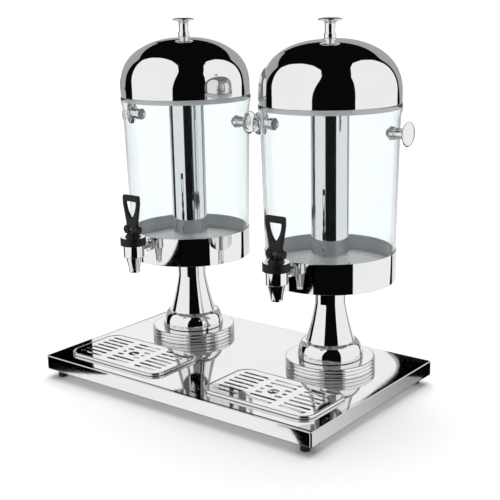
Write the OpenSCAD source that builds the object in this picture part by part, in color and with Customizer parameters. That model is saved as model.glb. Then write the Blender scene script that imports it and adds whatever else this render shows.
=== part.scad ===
// Double juice dispenser: two clear vessels on polished pedestal stands, on one base plate.
// Millimetres, Z up. The origin is the middle of the standing plane, under the base plate.
// The taps face -Y, and the two units stand side by side along X.

/* [Base plate] */
// Width of the base plate
base_w = 550; // [530:1:600]
// Depth of the base plate
base_d = 350; // [340:1:400]
// Height of the folded side walls
base_h = 24; // [22:1:36]
// Thickness of the base sheet
base_sheet = 1.2; // [0.8:0.1:1.6]
// Outer radius of the base plate's corners
base_corner_r = 2.5; // [2:0.5:8]
// Width of the return flange that is folded in under the side walls
base_flange_w = 30; // [28:1:34]

/* [Feet] */
// Diameter of each rubber foot
foot_d = 15; // [14:0.5:22]
// Height of each rubber foot under the base
foot_h = 14; // [8:0.5:18]
// Distance of a foot's axis from the side edges
foot_inset_x = 21; // [18:0.5:22]
// Distance of a foot's axis from the front and back edges
foot_inset_y = 16; // [15:0.5:18]
// Thread diameter of the foot screws
foot_screw_d = 4; // [3:0.5:5]

/* [Units] */
// Distance of each unit's axis from the middle of the base
unit_x = 148; // [144:1:160]
// Distance of the units' axes behind the middle of the base
unit_y = 64.5; // [55:0.5:68]

/* [Stand] */
// Diameter of the stacked stand rings
ring_d = 147; // [138:1:152]
// Height of one stand ring
ring_h = 6; // [4:0.5:8]
// Number of stand rings in the stack
ring_count = 3; // [2:1:4]
// Largest diameter of the rounded column base
column_base_d = 107; // [100:1:116]
// Height of the rounded column base
column_base_h = 28; // [20:1:34]
// Diameter of the column at its crease on the column base
column_foot_d = 79.5; // [72:0.5:84]
// Diameter of the column's neck
neck_d = 50.4; // [44:0.2:56]
// Height of the neck's lower end over the base plate
neck_z = 110; // [96:1:120]
// Wall of the spun column shells
column_wall = 1.2; // [1:0.1:1.6]
// Thread diameter of the tie rod through the stand
rod_d = 10; // [8:1:12]

/* [Pan] */
// Outer diameter of the steel pan under a vessel
pan_d = 210; // [206:1:214]
// Height of the pan's lower edge over the base plate
pan_z = 150; // [144:1:156]
// Height of the pan's outer wall
pan_h = 48; // [46:1:52]
// Height of the pan's floor over its lower edge
pan_floor_h = 20; // [18:0.5:21]
// Thickness of the pan's sheet
pan_sheet = 0.8; // [0.6:0.1:1]

/* [Vessel] */
// Height of the vessel's top edge over the base plate
vessel_top_z = 429; // [415:1:440]
// Outer diameter of the vessel under its flared rim
vessel_neck_d = 217.6; // [216:0.2:219]
// Outer diameter of the vessel's flared rim
vessel_rim_d = 223.6; // [222:0.2:225]
// Wall thickness of the vessel
vessel_wall = 3; // [2.5:0.1:3.2]
// Height of the flared rim
vessel_flare_h = 24; // [20:1:28]
// Diameter of the ice tube
ice_tube_d = 60; // [56:1:66]
// Height of the ice tube's open top over the base plate
ice_tube_top_z = 425; // [400:1:428]

/* [Lid] */
// Outer diameter of the domed lid
lid_d = 222.4; // [222:0.2:223]
// Height of the lid's straight wall
lid_wall_h = 15.6; // [12:0.2:20]
// Height of the dome over the straight wall
lid_dome_h = 82.6; // [70:0.2:96]
// Exponent of the dome's outline: 2 is an ellipse and more is squarer
lid_roundness = 2.26; // [2:0.02:2.6]
// Thickness of the lid's sheet
lid_sheet = 0.8; // [0.6:0.1:1]

/* [Knobs] */
// Diameter of a knob's disc
knob_d = 37.6; // [30:0.2:38]
// Height of a knob from its seat to the top of its disc
knob_h = 31; // [26:0.5:34]
// Height of the side knobs' axis over the base plate
side_knob_z = 389.5; // [376:0.5:394]

/* [Tap] */
// Distance of the tap's vertical axis in front of the unit's axis
tap_reach = 144.5; // [140:0.5:150]
// Height of the tap's shank over the base plate
shank_z = 186; // [184:0.5:187]
// Outer diameter of the tap's shank
shank_d = 12.6; // [12:0.2:13]
// Diameter of the tap's barrel
barrel_d = 35; // [31:0.5:37]
// Diameter of the black bonnet ring
bonnet_d = 42.8; // [40:0.2:45]
// Length of the tap's spout under the barrel
spout_h = 26.5; // [20:0.5:30]
// Outer diameter of the spout's lower end
spout_d = 19; // [16:0.2:20]
// Height of the handle over its pivot
handle_h = 58; // [50:1:66]
// Width of the handle at its top
handle_w = 35.5; // [28:0.5:38]
// Thickness of the handle
handle_t = 6; // [5:0.5:8]
// Stroke of the valve stem
stem_stroke = 2; // [1:0.5:2.5]

/* [Drip tray] */
// Distance of a tray's beaded rim from the base plate's side edge
tray_margin = 24.1; // [20:0.1:30]
// Outer depth of a drip tray over its beaded rim
tray_d = 116; // [110:0.5:124]
// Outer radius of the tray's corners
tray_corner_r = 24; // [20:1:28]
// Distance of the trays' centres in front of the middle of the base
tray_y = 91.5; // [88:0.5:100]
// Depth of a tray's tub under the base plate's top
tray_depth = 17; // [12:0.5:18]
// Thickness of the bead round a tray's rim
bead_d = 4.8; // [4:0.2:5.4]
// Rows of slots in a grate
slot_rows = 7; // [5:2:7]
// Distance from one row of slots to the next
slot_pitch = 13; // [11:0.5:13.5]
// Width of one slot
slot_w = 5.4; // [4.6:0.2:6]

/* [Hidden] */
$fn = 96;
left = -1;
right = 1;
seat_gap = 0.3;         // clearance between pieces that are set down on each other
slide_gap = 0.4;        // clearance round pieces that lift out
shaft_gap = 0.08;       // radial clearance of a running pin or stem
cut = 1;                // how far a cutting shape reaches past what it cuts
weld = 0.1;             // overlap of two shapes that are one solid
base_top = foot_h + base_h;

ring_gap = 0.04;        // film between stacked rings
ring_stack_h = ring_h * ring_count;
column_base_z = ring_stack_h;
crease_z = column_base_z + column_base_h;
pan_floor_z = pan_z + pan_floor_h;
pan_r = pan_d / 2;
pan_inner_r = pan_r - pan_sheet;
floor_seat_h = 1.5;     // raised edge of the pan's floor, which carries the gasket
floor_seat_r = 88;
gasket_h = 2;
gasket_w = 4.4;

vessel_z = pan_floor_z + floor_seat_h + gasket_h;
vessel_foot_r = pan_inner_r - seat_gap;
vessel_neck_r = vessel_neck_d / 2;
vessel_rim_r = vessel_rim_d / 2;
flare_z = vessel_top_z - vessel_flare_h;
vessel_inner_r = vessel_foot_r - vessel_wall;
vessel_rim_h = 8;       // straight part over the flare

lid_r = lid_d / 2;
lid_z = vessel_top_z + seat_gap;
lid_top_z = lid_z + lid_wall_h + lid_dome_h;
collar_r = vessel_rim_r - vessel_wall - slide_gap;
collar_drop = 8;
knob_r = knob_d / 2;
knob_stem_r = 8.3;
knob_collar_r = 9.7;
knob_collar_h = 6.6;
knob_disc_h = 5.6;
knob_screw_r = 2.5;
knob_thread_h = 12;
knob_screw_in = knob_thread_h - 2;      // the screw's reach into its knob
screw_head_r = 4.8;
screw_head_h = 3;
washer_t = 2;
knob_washer_r = 10;
inner_washer_t = 1;
inner_washer_r = 7;
washer_film = 0.05;     // clearance of a washer on a round wall
vessel_slope = (vessel_neck_r - vessel_foot_r) / (flare_z - pan_z - pan_h);
side_knob_wall_r = vessel_foot_r + vessel_slope * (side_knob_z - pan_z - pan_h);
knob_washer_film = washer_film + knob_washer_r * vessel_slope;
knob_washer_in = inner_seat(side_knob_wall_r - vessel_wall, inner_washer_r) - side_knob_wall_r
    - knob_washer_film - inner_washer_t;

rod_r = rod_d / 2;
rod_hole_r = rod_r + 0.3;
nut_h = 8;
rod_nut_af = 17;
cap_nut_h = 13;
rod_top_z = pan_floor_z + cap_nut_h - 2;
rod_overhang = 5;       // the rod's length under its nut
plug_h = 4;
plug_z = pan_floor_z + cap_nut_h + 3;
ice_tube_r = ice_tube_d / 2;
ice_tube_wall = 1;
tube_flange_r = ice_tube_r + 3;
tube_seal_h = 1.6;

barrel_r = barrel_d / 2;
barrel_h = 20;
barrel_z = shank_z - 13;
barrel_top_z = barrel_z + barrel_h;
cavity_r = 12.5;
thread_r = cavity_r + 2.3;
thread_h = 9.5;
seat_z = barrel_z + 3;
seat_hole_r = 5.6;
taper_r = barrel_r - 3.1;
taper_power = 1.15;     // above 1 the taper curves inward
shank_r = shank_d / 2;
shank_bore_r = shank_r - 1.9;
shank_play = 0.2;       // clearance of the shank in its holes
shank_end = 87;
spout_r = spout_d / 2;
spout_z = barrel_z - spout_h;
taper_h = spout_h - 3.5;
spout_wall = 1.6;
lock_nut_af = 19;
lock_nut_h = 5;
tap_washer_r = 10.4;
tap_washer_t = 1.6;
tap_washer_in = inner_seat(vessel_inner_r, tap_washer_r) - washer_film;

bonnet_r = bonnet_d / 2;
bonnet_z = barrel_top_z + seat_gap;
bonnet_h = 13.4;
bonnet_top_z = bonnet_z + bonnet_h;
bonnet_plate_h = 3;
bonnet_boss_r = 11;
bonnet_boss_h = 5.1;
stem_r = 4;
cup_r = 8;
cup_h = 8;
cup_z = seat_z;
stem_z = cup_z + 3;
collar_gap = 0.2;       // the stem's collar stops this far short of the bonnet
stop_r = 5;
stop_h = 2;
pin_r = 1.5;
ear_r = 6.6;
ear_span = 31;
eye_w = 8;
eye_r = 5;
fork_gap = 0.3;
heel_y = 4.6;
heel_z = ear_r + 0.3;
pivot_z = bonnet_top_z + bonnet_boss_h + heel_z + seat_gap;
handle_neck_w = 25;
handle_neck_h = 9;
handle_shoulder_h = 14; // full width over this height at the top
handle_round_r = 3;
handle_bar_h = 10.5;
handle_side_w = 5.8;
window_point_z = 20;
window_curve = 0.86;    // share of its width that the window loses by its last step
spring_coils = 3;       // working coils, between one flat coil at each end
spring_wire_r = 0.6;
spring_r = 6.6;
spring_end_pitch = 2 * spring_wire_r + 0.5;
spring_sides = 6;
spring_rings = 12;

tray_w = base_w - 2 * (unit_x + tray_margin);
tray_bead_r = bead_d / 2;
tray_sheet = 0.8;
bead_line_w = tray_w - bead_d;
bead_line_d = tray_d - bead_d;
bead_line_r = tray_corner_r - tray_bead_r;
bead_z = tray_bead_r + seat_gap;
tub_w = bead_line_w - 2;
tub_d = bead_line_d - 2;
tub_r = bead_line_r - 1;
cutout_gap = 1;
grate_t = 1;
grate_drop = 0.5;       // the grate lies this far under the top of the bead
grate_z = bead_z + tray_bead_r - grate_drop;
grate_skirt_h = 6;
grate_w = tub_w - 2 * tray_sheet - 2 * slide_gap;
grate_d = tub_d - 2 * tray_sheet - 2 * slide_gap;
grate_r = tub_r - tray_sheet - slide_gap;
middle_slot_l = 50;
slot_column_gap = 14;
slot_end_gap = 11.3;
side_slot_l = (grate_w - middle_slot_l) / 2 - slot_column_gap - slot_end_gap;
side_slot_x = (middle_slot_l + side_slot_l) / 2 + slot_column_gap;
drain_d = 18.5;
leg_w = 16;

foot_bore_z = 5;
foot_head_r = foot_screw_d * 0.95;
foot_head_h = foot_head_r * 0.7;
foot_x = base_w / 2 - foot_inset_x;
foot_y = base_d / 2 - foot_inset_y;

// Points along a circular arc round c
function arc(c, r, a0, a1, n = 10) =
    [for (i = [0:n]) [c[0] + r * cos(a0 + (a1 - a0) * i / n), c[1] + r * sin(a0 + (a1 - a0) * i / n)]];

// Points along an ellipse's arc round c
function oval(c, rx, ry, a0, a1, n = 14) =
    [for (i = [0:n]) [c[0] + rx * cos(a0 + (a1 - a0) * i / n), c[1] + ry * sin(a0 + (a1 - a0) * i / n)]];

// How far out a flat washer of radius w can go inside a round wall of radius r
function inner_seat(r, w) = sqrt(r * r - w * w);

// Same points in the other order
function flip(points) = [for (i = [len(points) - 1:-1:0]) points[i]];

// A solid of revolution from an outline of [radius, height] points
module spin(points) {
    rotate_extrude()
        polygon(points);
}

// A flat rectangle with round corners, centred
module round_rect(w, d, r) {
    square([w - 2 * r, d], center = true);
    square([w, d - 2 * r], center = true);
    for (x = [-1, 1], y = [-1, 1])
        translate([x * (w / 2 - r), y * (d / 2 - r)])
            circle(r);
}

// A plate with round corners, standing on z = 0
module round_plate(w, d, r, h) {
    linear_extrude(h)
        round_rect(w, d, r);
}

// A hexagon bar across flats, with flats up and down
module hex_bar(af, h) {
    rotate([0, 0, 30])
        cylinder(d = af / cos(30), h = h, $fn = 6);
}

// A unit's place on the base plate
module at_unit(side) {
    translate([side * unit_x, unit_y, base_top])
        children();
}

// A drip tray's place on the base plate
module at_tray(side) {
    translate([side * unit_x, -tray_y, base_top])
        children();
}

// The four feet's places
module at_feet() {
    for (x = [-1, 1], y = [-1, 1])
        translate([x * foot_x, y * foot_y, 0])
            children();
}

// The two ends of a vessel's knob axis; children point outward along X
module at_side_knobs() {
    for (turn = [0, 180])
        rotate([0, 0, turn])
            translate([side_knob_wall_r, 0, side_knob_z])
                rotate([0, 90, 0])
                    children();
}

// Axis of the tap's shank, from the unit's axis towards the front; children lie along -Y
module on_shank(reach) {
    translate([0, -reach, shank_z])
        rotate([90, 0, 0])
            children();
}

// Folded sheet tray, open below, with cut-outs for the drip trays
module base_plate() {
    flange_corner_r = 4;
    color("gainsboro")
    difference() {
        translate([0, 0, foot_h])
            round_plate(base_w, base_d, base_corner_r, base_h);
        translate([0, 0, foot_h + base_sheet])
            round_plate(base_w - 2 * base_sheet, base_d - 2 * base_sheet,
                base_corner_r - base_sheet, base_h - 2 * base_sheet);
        translate([0, 0, foot_h - cut])
            round_plate(base_w - 2 * base_flange_w, base_d - 2 * base_flange_w, flange_corner_r,
                base_sheet + 2 * cut);
        for (side = [left, right]) {
            at_tray(side)
                translate([0, 0, -2 * base_sheet])
                    round_plate(tub_w + 2 * cutout_gap, tub_d + 2 * cutout_gap,
                        tub_r + cutout_gap, 3 * base_sheet);
            at_unit(side)
                translate([0, 0, -2 * base_sheet])
                    cylinder(r = rod_hole_r, h = 3 * base_sheet);
        }
        at_feet()
            translate([0, 0, foot_h - cut])
                cylinder(d = foot_screw_d + slide_gap, h = base_sheet + 2 * cut);
    }
}

// Rubber foot with a rounded tread and a recess for its screw
module base_feet() {
    tread_r = 1.5;
    hole_r = (foot_screw_d + slide_gap) / 2;
    bore_r = foot_head_r + seat_gap;
    color("black")
    at_feet()
        spin(concat(
            [[hole_r, foot_h], [hole_r, foot_bore_z], [bore_r, foot_bore_z], [bore_r, 0]],
            arc([foot_d / 2 - tread_r, tread_r], tread_r, -90, 0, 6),
            [[foot_d / 2, foot_h]]));
}

// Pan head screws and their nuts that hold the feet to the return flange
module foot_screws() {
    screw_top = foot_h + base_sheet + 5;
    nut_af = foot_screw_d * 1.75;
    foot_nut_h = foot_screw_d * 0.8;
    color("silver")
    at_feet() {
        translate([0, 0, foot_bore_z - foot_head_h])
            cylinder(r = foot_head_r, h = foot_head_h);
        translate([0, 0, foot_bore_z - weld])
            cylinder(d = foot_screw_d, h = screw_top - foot_bore_z + weld);
        translate([0, 0, foot_h + base_sheet])
            hex_bar(nut_af, foot_nut_h);
    }
}

// Threaded rods that clamp the base plate, the stand and the pan together
module tie_rods() {
    color("silver")
    for (side = [left, right])
        at_unit(side)
            translate([0, 0, -base_sheet - nut_h - rod_overhang])
                cylinder(r = rod_r, h = rod_top_z + base_sheet + nut_h + rod_overhang);
}

// Nuts and wide washers under the base plate
module tie_rod_nuts() {
    plate_r = 30;
    plate_t = 2.5;
    color("silver")
    for (side = [left, right])
        at_unit(side)
            difference() {
                union() {
                    translate([0, 0, -base_sheet - plate_t])
                        cylinder(r = plate_r, h = plate_t);
                    translate([0, 0, -base_sheet - plate_t - nut_h])
                        hex_bar(rod_nut_af, nut_h + weld);
                }
                translate([0, 0, -base_sheet - plate_t - nut_h - cut])
                    cylinder(r = rod_r, h = nut_h + plate_t + 2 * cut);
            }
}

// Cap nuts with flanges on the pan's floor, inside the foot of the ice tube
module tie_rod_cap_nuts() {
    flange_r = 14;
    flange_t = 2;
    cap_r = rod_nut_af / 2 - 0.3;
    hex_h = 8;
    color("silver")
    for (side = [left, right])
        at_unit(side)
            translate([0, 0, pan_floor_z])
                difference() {
                    union() {
                        cylinder(r = flange_r, h = flange_t);
                        hex_bar(rod_nut_af, hex_h);
                        spin(concat([[0, hex_h - weld], [cap_r, hex_h - weld]],
                            oval([0, hex_h], cap_r, cap_nut_h - hex_h, 0, 90, 8)));
                    }
                    translate([0, 0, -cut])
                        cylinder(r = rod_r, h = rod_top_z - pan_floor_z + cut);
                }
}

// Three turned rings with rounded edges, stacked on the base plate
module stand_rings() {
    edge_r = (ring_h - ring_gap) / 2;
    color("gainsboro")
    for (i = [0:ring_count - 1])
        translate([0, 0, i * ring_h])
            spin(concat(
                [[rod_hole_r, 0]],
                arc([ring_d / 2 - edge_r, edge_r], edge_r, -90, 90, 10),
                [[rod_hole_r, 2 * edge_r]]));
}

// Rounded shell between the stand rings and the column
module column_base() {
    outer_r = column_base_d / 2;
    swell = outer_r - column_foot_d / 2;
    lip = 4;
    hem_h = 3;
    hem_r = outer_r - 2.2;
    rise = column_base_h - hem_h;
    shell_z = column_base_z + hem_h;
    hem_angle = -4;
    color("gainsboro")
    spin(concat(
        [[hem_r, column_base_z]],
        oval([column_foot_d / 2, shell_z], swell, rise, hem_angle, 90),
        [[column_foot_d / 2 - lip, crease_z], [column_foot_d / 2 - lip, crease_z - column_wall]],
        flip(oval([column_foot_d / 2, shell_z], swell - column_wall, rise - column_wall,
            hem_angle, 90)),
        [[hem_r - column_wall, column_base_z]]));
}

// Spun trumpet shell from the column base up to the pan's floor
module column() {
    foot_r = column_foot_d / 2;
    neck_r = neck_d / 2;
    steps = 16;
    curve = 1.25;
    top = pan_floor_z - pan_sheet;
    top_plate_h = 3;
    flare = [for (i = [0:steps]) let (u = 1 - i / steps)
        [neck_r + (foot_r - neck_r) * pow(u, curve), crease_z + (neck_z - crease_z) * (1 - u)]];
    color("gainsboro")
    spin(concat(
        flare,
        [[neck_r, top], [rod_hole_r, top], [rod_hole_r, top - top_plate_h],
            [neck_r - column_wall, top - top_plate_h]],
        flip([for (p = flare) [p[0] - column_wall, p[1]]])));
}

// Steel pan: outer skirt, floor with a raised seat, and the tap's hole
module pan() {
    hole_reach = 8;
    color("gainsboro")
    difference() {
        spin([
            [rod_hole_r, pan_floor_z - pan_sheet], [pan_inner_r, pan_floor_z - pan_sheet],
            [pan_inner_r, pan_z], [pan_r, pan_z], [pan_r, pan_z + pan_h],
            [pan_inner_r, pan_z + pan_h], [pan_inner_r, pan_floor_z + floor_seat_h],
            [floor_seat_r + 1, pan_floor_z + floor_seat_h], [floor_seat_r - 1, pan_floor_z],
            [rod_hole_r, pan_floor_z]
        ]);
        on_shank(pan_r - hole_reach)
            cylinder(r = shank_r + shank_play, h = 2 * hole_reach);
    }
}

// Silicone ring between the pan and the vessel's lower edge
module pan_gasket() {
    color("whitesmoke")
    spin([
        [vessel_foot_r - gasket_w, pan_floor_z + floor_seat_h],
        [vessel_foot_r, pan_floor_z + floor_seat_h],
        [vessel_foot_r, vessel_z], [vessel_foot_r - gasket_w, vessel_z]
    ]);
}

// Outline of the vessel's wall, inset from its outside
function vessel_side(inset) = concat(
    [[vessel_foot_r - inset, vessel_z], [vessel_foot_r - inset, pan_z + pan_h]],
    [[vessel_neck_r - inset, flare_z]],
    [for (i = [1:8]) let (u = i / 9)
        [vessel_neck_r - inset + (vessel_rim_r - vessel_neck_r) * (1 - cos(180 * u)) / 2,
            flare_z + (vessel_flare_h - vessel_rim_h) * u]],
    [[vessel_rim_r - inset, vessel_top_z - vessel_rim_h], [vessel_rim_r - inset, vessel_top_z]]);

// Clear moulded vessel, open at both ends, with a flared rim
module vessel() {
    hole_reach = 8;
    color("lightcyan", 0.35)
    difference() {
        spin(concat(vessel_side(0), flip(vessel_side(vessel_wall))));
        on_shank(vessel_foot_r - hole_reach)
            cylinder(r = shank_r + shank_play, h = 2 * hole_reach);
        at_side_knobs()
            translate([0, 0, -hole_reach])
                cylinder(r = knob_screw_r + slide_gap / 2, h = 2 * hole_reach);
    }
}

// Mushroom knob: collar, waist and domed disc, standing on z = 0, with a blind thread from below
module knob() {
    bevel = 0.6;
    fillet_r = 5;
    rim_r = 0.9;
    disc_z = knob_h - knob_disc_h;
    rim_z = disc_z + 2.06;
    dome_z = disc_z + 3.2;
    spin(concat(
        [[0, knob_thread_h], [knob_screw_r, knob_thread_h], [knob_screw_r, 0],
            [knob_collar_r - bevel, 0], [knob_collar_r, bevel], [knob_collar_r, knob_collar_h],
            [knob_stem_r + bevel, knob_collar_h + bevel], [knob_stem_r, knob_collar_h + 2 * bevel]],
        arc([knob_stem_r + fillet_r, disc_z - 3.4], fillet_r, 180, 120, 6),
        arc([knob_r - rim_r, rim_z], rim_r, -80, 70, 5),
        [for (i = [1:9])
            [(knob_r - bevel) * cos(9 * i), dome_z + (knob_h - dome_z) * sin(9 * i)]],
        [[0, knob_h]]));
}

// Pan head screw along z with its head under z = 0, reaching up to the height given
module pan_head_screw(top) {
    bevel = 1;
    spin([
        [0, -screw_head_h], [screw_head_r - bevel, -screw_head_h], [screw_head_r, bevel - screw_head_h],
        [screw_head_r, 0], [knob_screw_r, 0], [knob_screw_r, top], [0, top]
    ]);
}

// A vessel's two lifting knobs
module side_knobs() {
    color("gainsboro")
    at_side_knobs()
        translate([0, 0, washer_t])
            knob();
}

// Screws that hold the lifting knobs from inside the vessels
module side_knob_screws() {
    color("silver")
    for (side = [left, right])
        at_unit(side)
            at_side_knobs()
                translate([0, 0, knob_washer_in])
                    pan_head_screw(washer_t + knob_screw_in - knob_washer_in);
}

// A flat ring from z = 0 up
module flat_ring(inner, outer, h) {
    difference() {
        cylinder(r = outer, h = h);
        translate([0, 0, -cut])
            cylinder(r = inner, h = h + 2 * cut);
    }
}

// Silicone washers on both faces of the vessel wall at each side knob
module side_knob_washers() {
    color("whitesmoke")
    for (side = [left, right])
        at_unit(side)
            at_side_knobs() {
                translate([0, 0, knob_washer_film])
                    flat_ring(knob_screw_r, knob_washer_r, washer_t - knob_washer_film);
                translate([0, 0, knob_washer_in])
                    flat_ring(knob_screw_r, inner_washer_r, inner_washer_t);
            }
}

// Polished tube for ice, with a flanged foot on the pan's floor
module ice_tube() {
    foot_z = pan_floor_z + tube_seal_h;
    flange_t = 1.2;
    fillet = 1;
    inner_r = ice_tube_r - ice_tube_wall;
    color("gainsboro")
    spin([
        [inner_r, foot_z], [tube_flange_r, foot_z], [tube_flange_r, foot_z + flange_t],
        [ice_tube_r + fillet, foot_z + flange_t], [ice_tube_r, foot_z + flange_t + fillet],
        [ice_tube_r, ice_tube_top_z], [inner_r, ice_tube_top_z]
    ]);
}

// Plate that closes the ice tube over the cap nut
module ice_tube_plug() {
    color("silver")
    translate([0, 0, plug_z])
        cylinder(r = ice_tube_r - ice_tube_wall, h = plug_h);
}

// Silicone ring under the ice tube's flange
module ice_tube_seal() {
    color("whitesmoke")
    translate([0, 0, pan_floor_z])
        flat_ring(ice_tube_r - 3, tube_flange_r - slide_gap, tube_seal_h);
}

// Outline of the lid's dome, inset from its outside
function dome_side(inset) =
    let (a = lid_r - inset, b = lid_dome_h - inset, n = 28, z = lid_z + lid_wall_h)
    [for (i = [0:n]) let (t = 90 * i / n)
        [max(a * pow(max(cos(t), 0), 2 / lid_roundness), knob_screw_r + slide_gap / 2),
            z + b * pow(sin(t), 2 / lid_roundness)]];

// Domed lid of polished sheet
module lid() {
    color("gainsboro")
    spin(concat(
        [[lid_r - lid_sheet, lid_z], [lid_r, lid_z]],
        dome_side(0),
        flip(dome_side(lid_sheet))));
}

// Inner collar that centres the lid in the vessel's rim
module lid_collar() {
    sheet = 1;
    shelf_r = lid_r - lid_sheet;
    color("silver")
    spin([
        [collar_r - sheet, lid_z - collar_drop], [collar_r, lid_z - collar_drop],
        [collar_r, lid_z], [shelf_r, lid_z], [shelf_r, lid_z + sheet],
        [collar_r - sheet, lid_z + sheet]
    ]);
}

// Knob on top of the lid
module lid_knob() {
    color("gainsboro")
    translate([0, 0, lid_top_z])
        knob();
}

// Screw with a wide washer, in one piece, that holds the lid's knob from inside
module lid_screw() {
    plate_r = 9;
    plate_t = 1.2;
    plate_z = lid_top_z - lid_sheet - slide_gap - plate_t;
    color("silver")
    translate([0, 0, plate_z]) {
        pan_head_screw(lid_top_z + knob_screw_in - plate_z);
        cylinder(r = plate_r, h = plate_t);
    }
}

// Chromed tap body: barrel with its spout, and the hollow shank through pan and vessel
module tap_body() {
    steps = 10;
    mouth_bevel = 0.5;
    barrel_bevel = 0.8;
    seat_web = 5;
    taper_z = barrel_z - taper_h;
    thread_top = barrel_top_z + thread_h;
    taper = [for (i = [0:steps]) let (u = i / steps)
        [spout_r + (taper_r - spout_r) * pow(u, taper_power), taper_z + taper_h * u]];
    shank_l = tap_reach - shank_end - cavity_r;
    color("gainsboro")
    difference() {
        union() {
            translate([0, -tap_reach, 0])
                spin(concat(
                    [[0, spout_z], [spout_r - mouth_bevel, spout_z], [spout_r, spout_z + mouth_bevel]],
                    taper,
                    [[barrel_r - barrel_bevel, barrel_z], [barrel_r, barrel_z + barrel_bevel],
                        [barrel_r, barrel_top_z], [thread_r, barrel_top_z],
                        [thread_r, thread_top], [0, thread_top]]));
            on_shank(shank_end)
                cylinder(r = shank_r, h = shank_l + weld);
        }
        translate([0, -tap_reach, seat_z])
            cylinder(r = cavity_r, h = thread_top - seat_z + cut);
        translate([0, -tap_reach, seat_z - seat_web - cut])
            cylinder(r = seat_hole_r, h = seat_web + 2 * cut);
        translate([0, -tap_reach, spout_z - cut])
            cylinder(r = spout_r - spout_wall, h = seat_z - seat_web - spout_z + cut);
        on_shank(shank_end - cut)
            cylinder(r = shank_bore_r, h = shank_l + shank_bore_r);
    }
}

// Lock nuts on each shank, outside the pan and inside the vessel
module tap_lock_nuts() {
    color("silver")
    for (side = [left, right])
        at_unit(side)
            for (reach = [pan_r + washer_film + tap_washer_t,
                    tap_washer_in - tap_washer_t - lock_nut_h])
                on_shank(reach)
                    difference() {
                        hex_bar(lock_nut_af, lock_nut_h);
                        translate([0, 0, -cut])
                            cylinder(r = shank_r, h = lock_nut_h + 2 * cut);
                    }
}

// Silicone washers under the lock nuts
module tap_washers() {
    color("whitesmoke")
    for (side = [left, right])
        at_unit(side)
            for (reach = [pan_r + washer_film, tap_washer_in - tap_washer_t])
                on_shank(reach)
                    flat_ring(shank_r, tap_washer_r, tap_washer_t);
}

// Black bonnet ring screwed over the barrel, with a boss round the stem
module tap_bonnet() {
    edge_r = 1.2;
    bevel = 0.6;
    boss_flare = 2;
    bore_r = stem_r + shaft_gap;
    skirt_r = thread_r + shaft_gap;
    boss_z = bonnet_top_z + bonnet_boss_h;
    plate_z = bonnet_top_z - bonnet_plate_h;
    color("black")
    translate([0, -tap_reach, 0])
        spin(concat(
            [[skirt_r, bonnet_z], [bonnet_r - bevel, bonnet_z], [bonnet_r, bonnet_z + bevel]],
            arc([bonnet_r - edge_r, bonnet_top_z - edge_r], edge_r, 0, 90, 4),
            [[bonnet_boss_r + boss_flare, bonnet_top_z], [bonnet_boss_r, boss_z - bevel],
                [bonnet_boss_r - bevel, boss_z], [bore_r, boss_z], [bore_r, plate_z],
                [skirt_r, plate_z]]));
}

// Valve stem with the collar that stops it and the eye for the pivot pin
module tap_stem() {
    stop_z = bonnet_top_z - bonnet_plate_h - collar_gap - stem_stroke - stop_h;
    color("silver")
    translate([0, -tap_reach, 0])
        difference() {
            union() {
                translate([0, 0, stem_z])
                    cylinder(r = stem_r, h = pivot_z - stem_z);
                translate([0, 0, stop_z])
                    cylinder(r = stop_r, h = stop_h);
                translate([-eye_w / 2, 0, pivot_z])
                    rotate([0, 90, 0])
                        cylinder(r = eye_r, h = eye_w);
            }
            translate([-eye_w, 0, pivot_z])
                rotate([0, 90, 0])
                    cylinder(r = pin_r, h = 2 * eye_w);
        }
}

// Silicone cup that closes the valve seat
module tap_seat_cup() {
    bevel = 1.5;
    color("whitesmoke")
    translate([0, -tap_reach, 0])
        spin([
            [0, cup_z], [cup_r - bevel, cup_z], [cup_r, cup_z + bevel], [cup_r, cup_z + cup_h],
            [stem_r, cup_z + cup_h], [stem_r, stem_z], [0, stem_z]
        ]);
}

// Height of the spring's wire after t coils: flat coils at both ends, even ones between
function spring_rise(t, span) =
    let (flat = spring_end_pitch, pitch = (span - 2 * flat) / spring_coils)
    t < 1 ? flat * t
        : t < 1 + spring_coils ? flat + pitch * (t - 1)
        : span - flat * (2 + spring_coils - t);

// Coil spring that holds the cup on its seat, as one tube swept along its helix
module tap_spring() {
    z0 = cup_z + cup_h + spring_wire_r;
    span = bonnet_top_z - bonnet_plate_h - spring_wire_r - z0;
    steps = (spring_coils + 2) * spring_rings;
    points = [for (i = [0:steps], j = [0:spring_sides - 1])
        let (a = 360 * i / spring_rings, b = 360 * j / spring_sides,
            r = spring_r + spring_wire_r * cos(b))
            [r * cos(a), r * sin(a), spring_rise(i / spring_rings, span) + spring_wire_r * sin(b)]];
    skin = [for (i = [0:steps - 1], j = [0:spring_sides - 1], half = [0, 1])
        let (k = (j + 1) % spring_sides, a = i * spring_sides, b = a + spring_sides)
            half == 0 ? [a + j, a + k, b + k] : [a + j, b + k, b + j]];
    start_cap = [for (j = [spring_sides - 1:-1:0]) j];
    end_cap = [for (j = [0:spring_sides - 1]) steps * spring_sides + j];
    color("silver")
    translate([0, -tap_reach, z0])
        polyhedron(points, concat(skin, [start_cap, end_cap]));
}

// Pivot pin through the handle's ears and the stem's eye
module tap_pin() {
    pin_l = ear_span - 0.6;
    color("silver")
    translate([-pin_l / 2, -tap_reach, pivot_z])
        rotate([0, 90, 0])
            cylinder(r = pin_r, h = pin_l);
}

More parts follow.
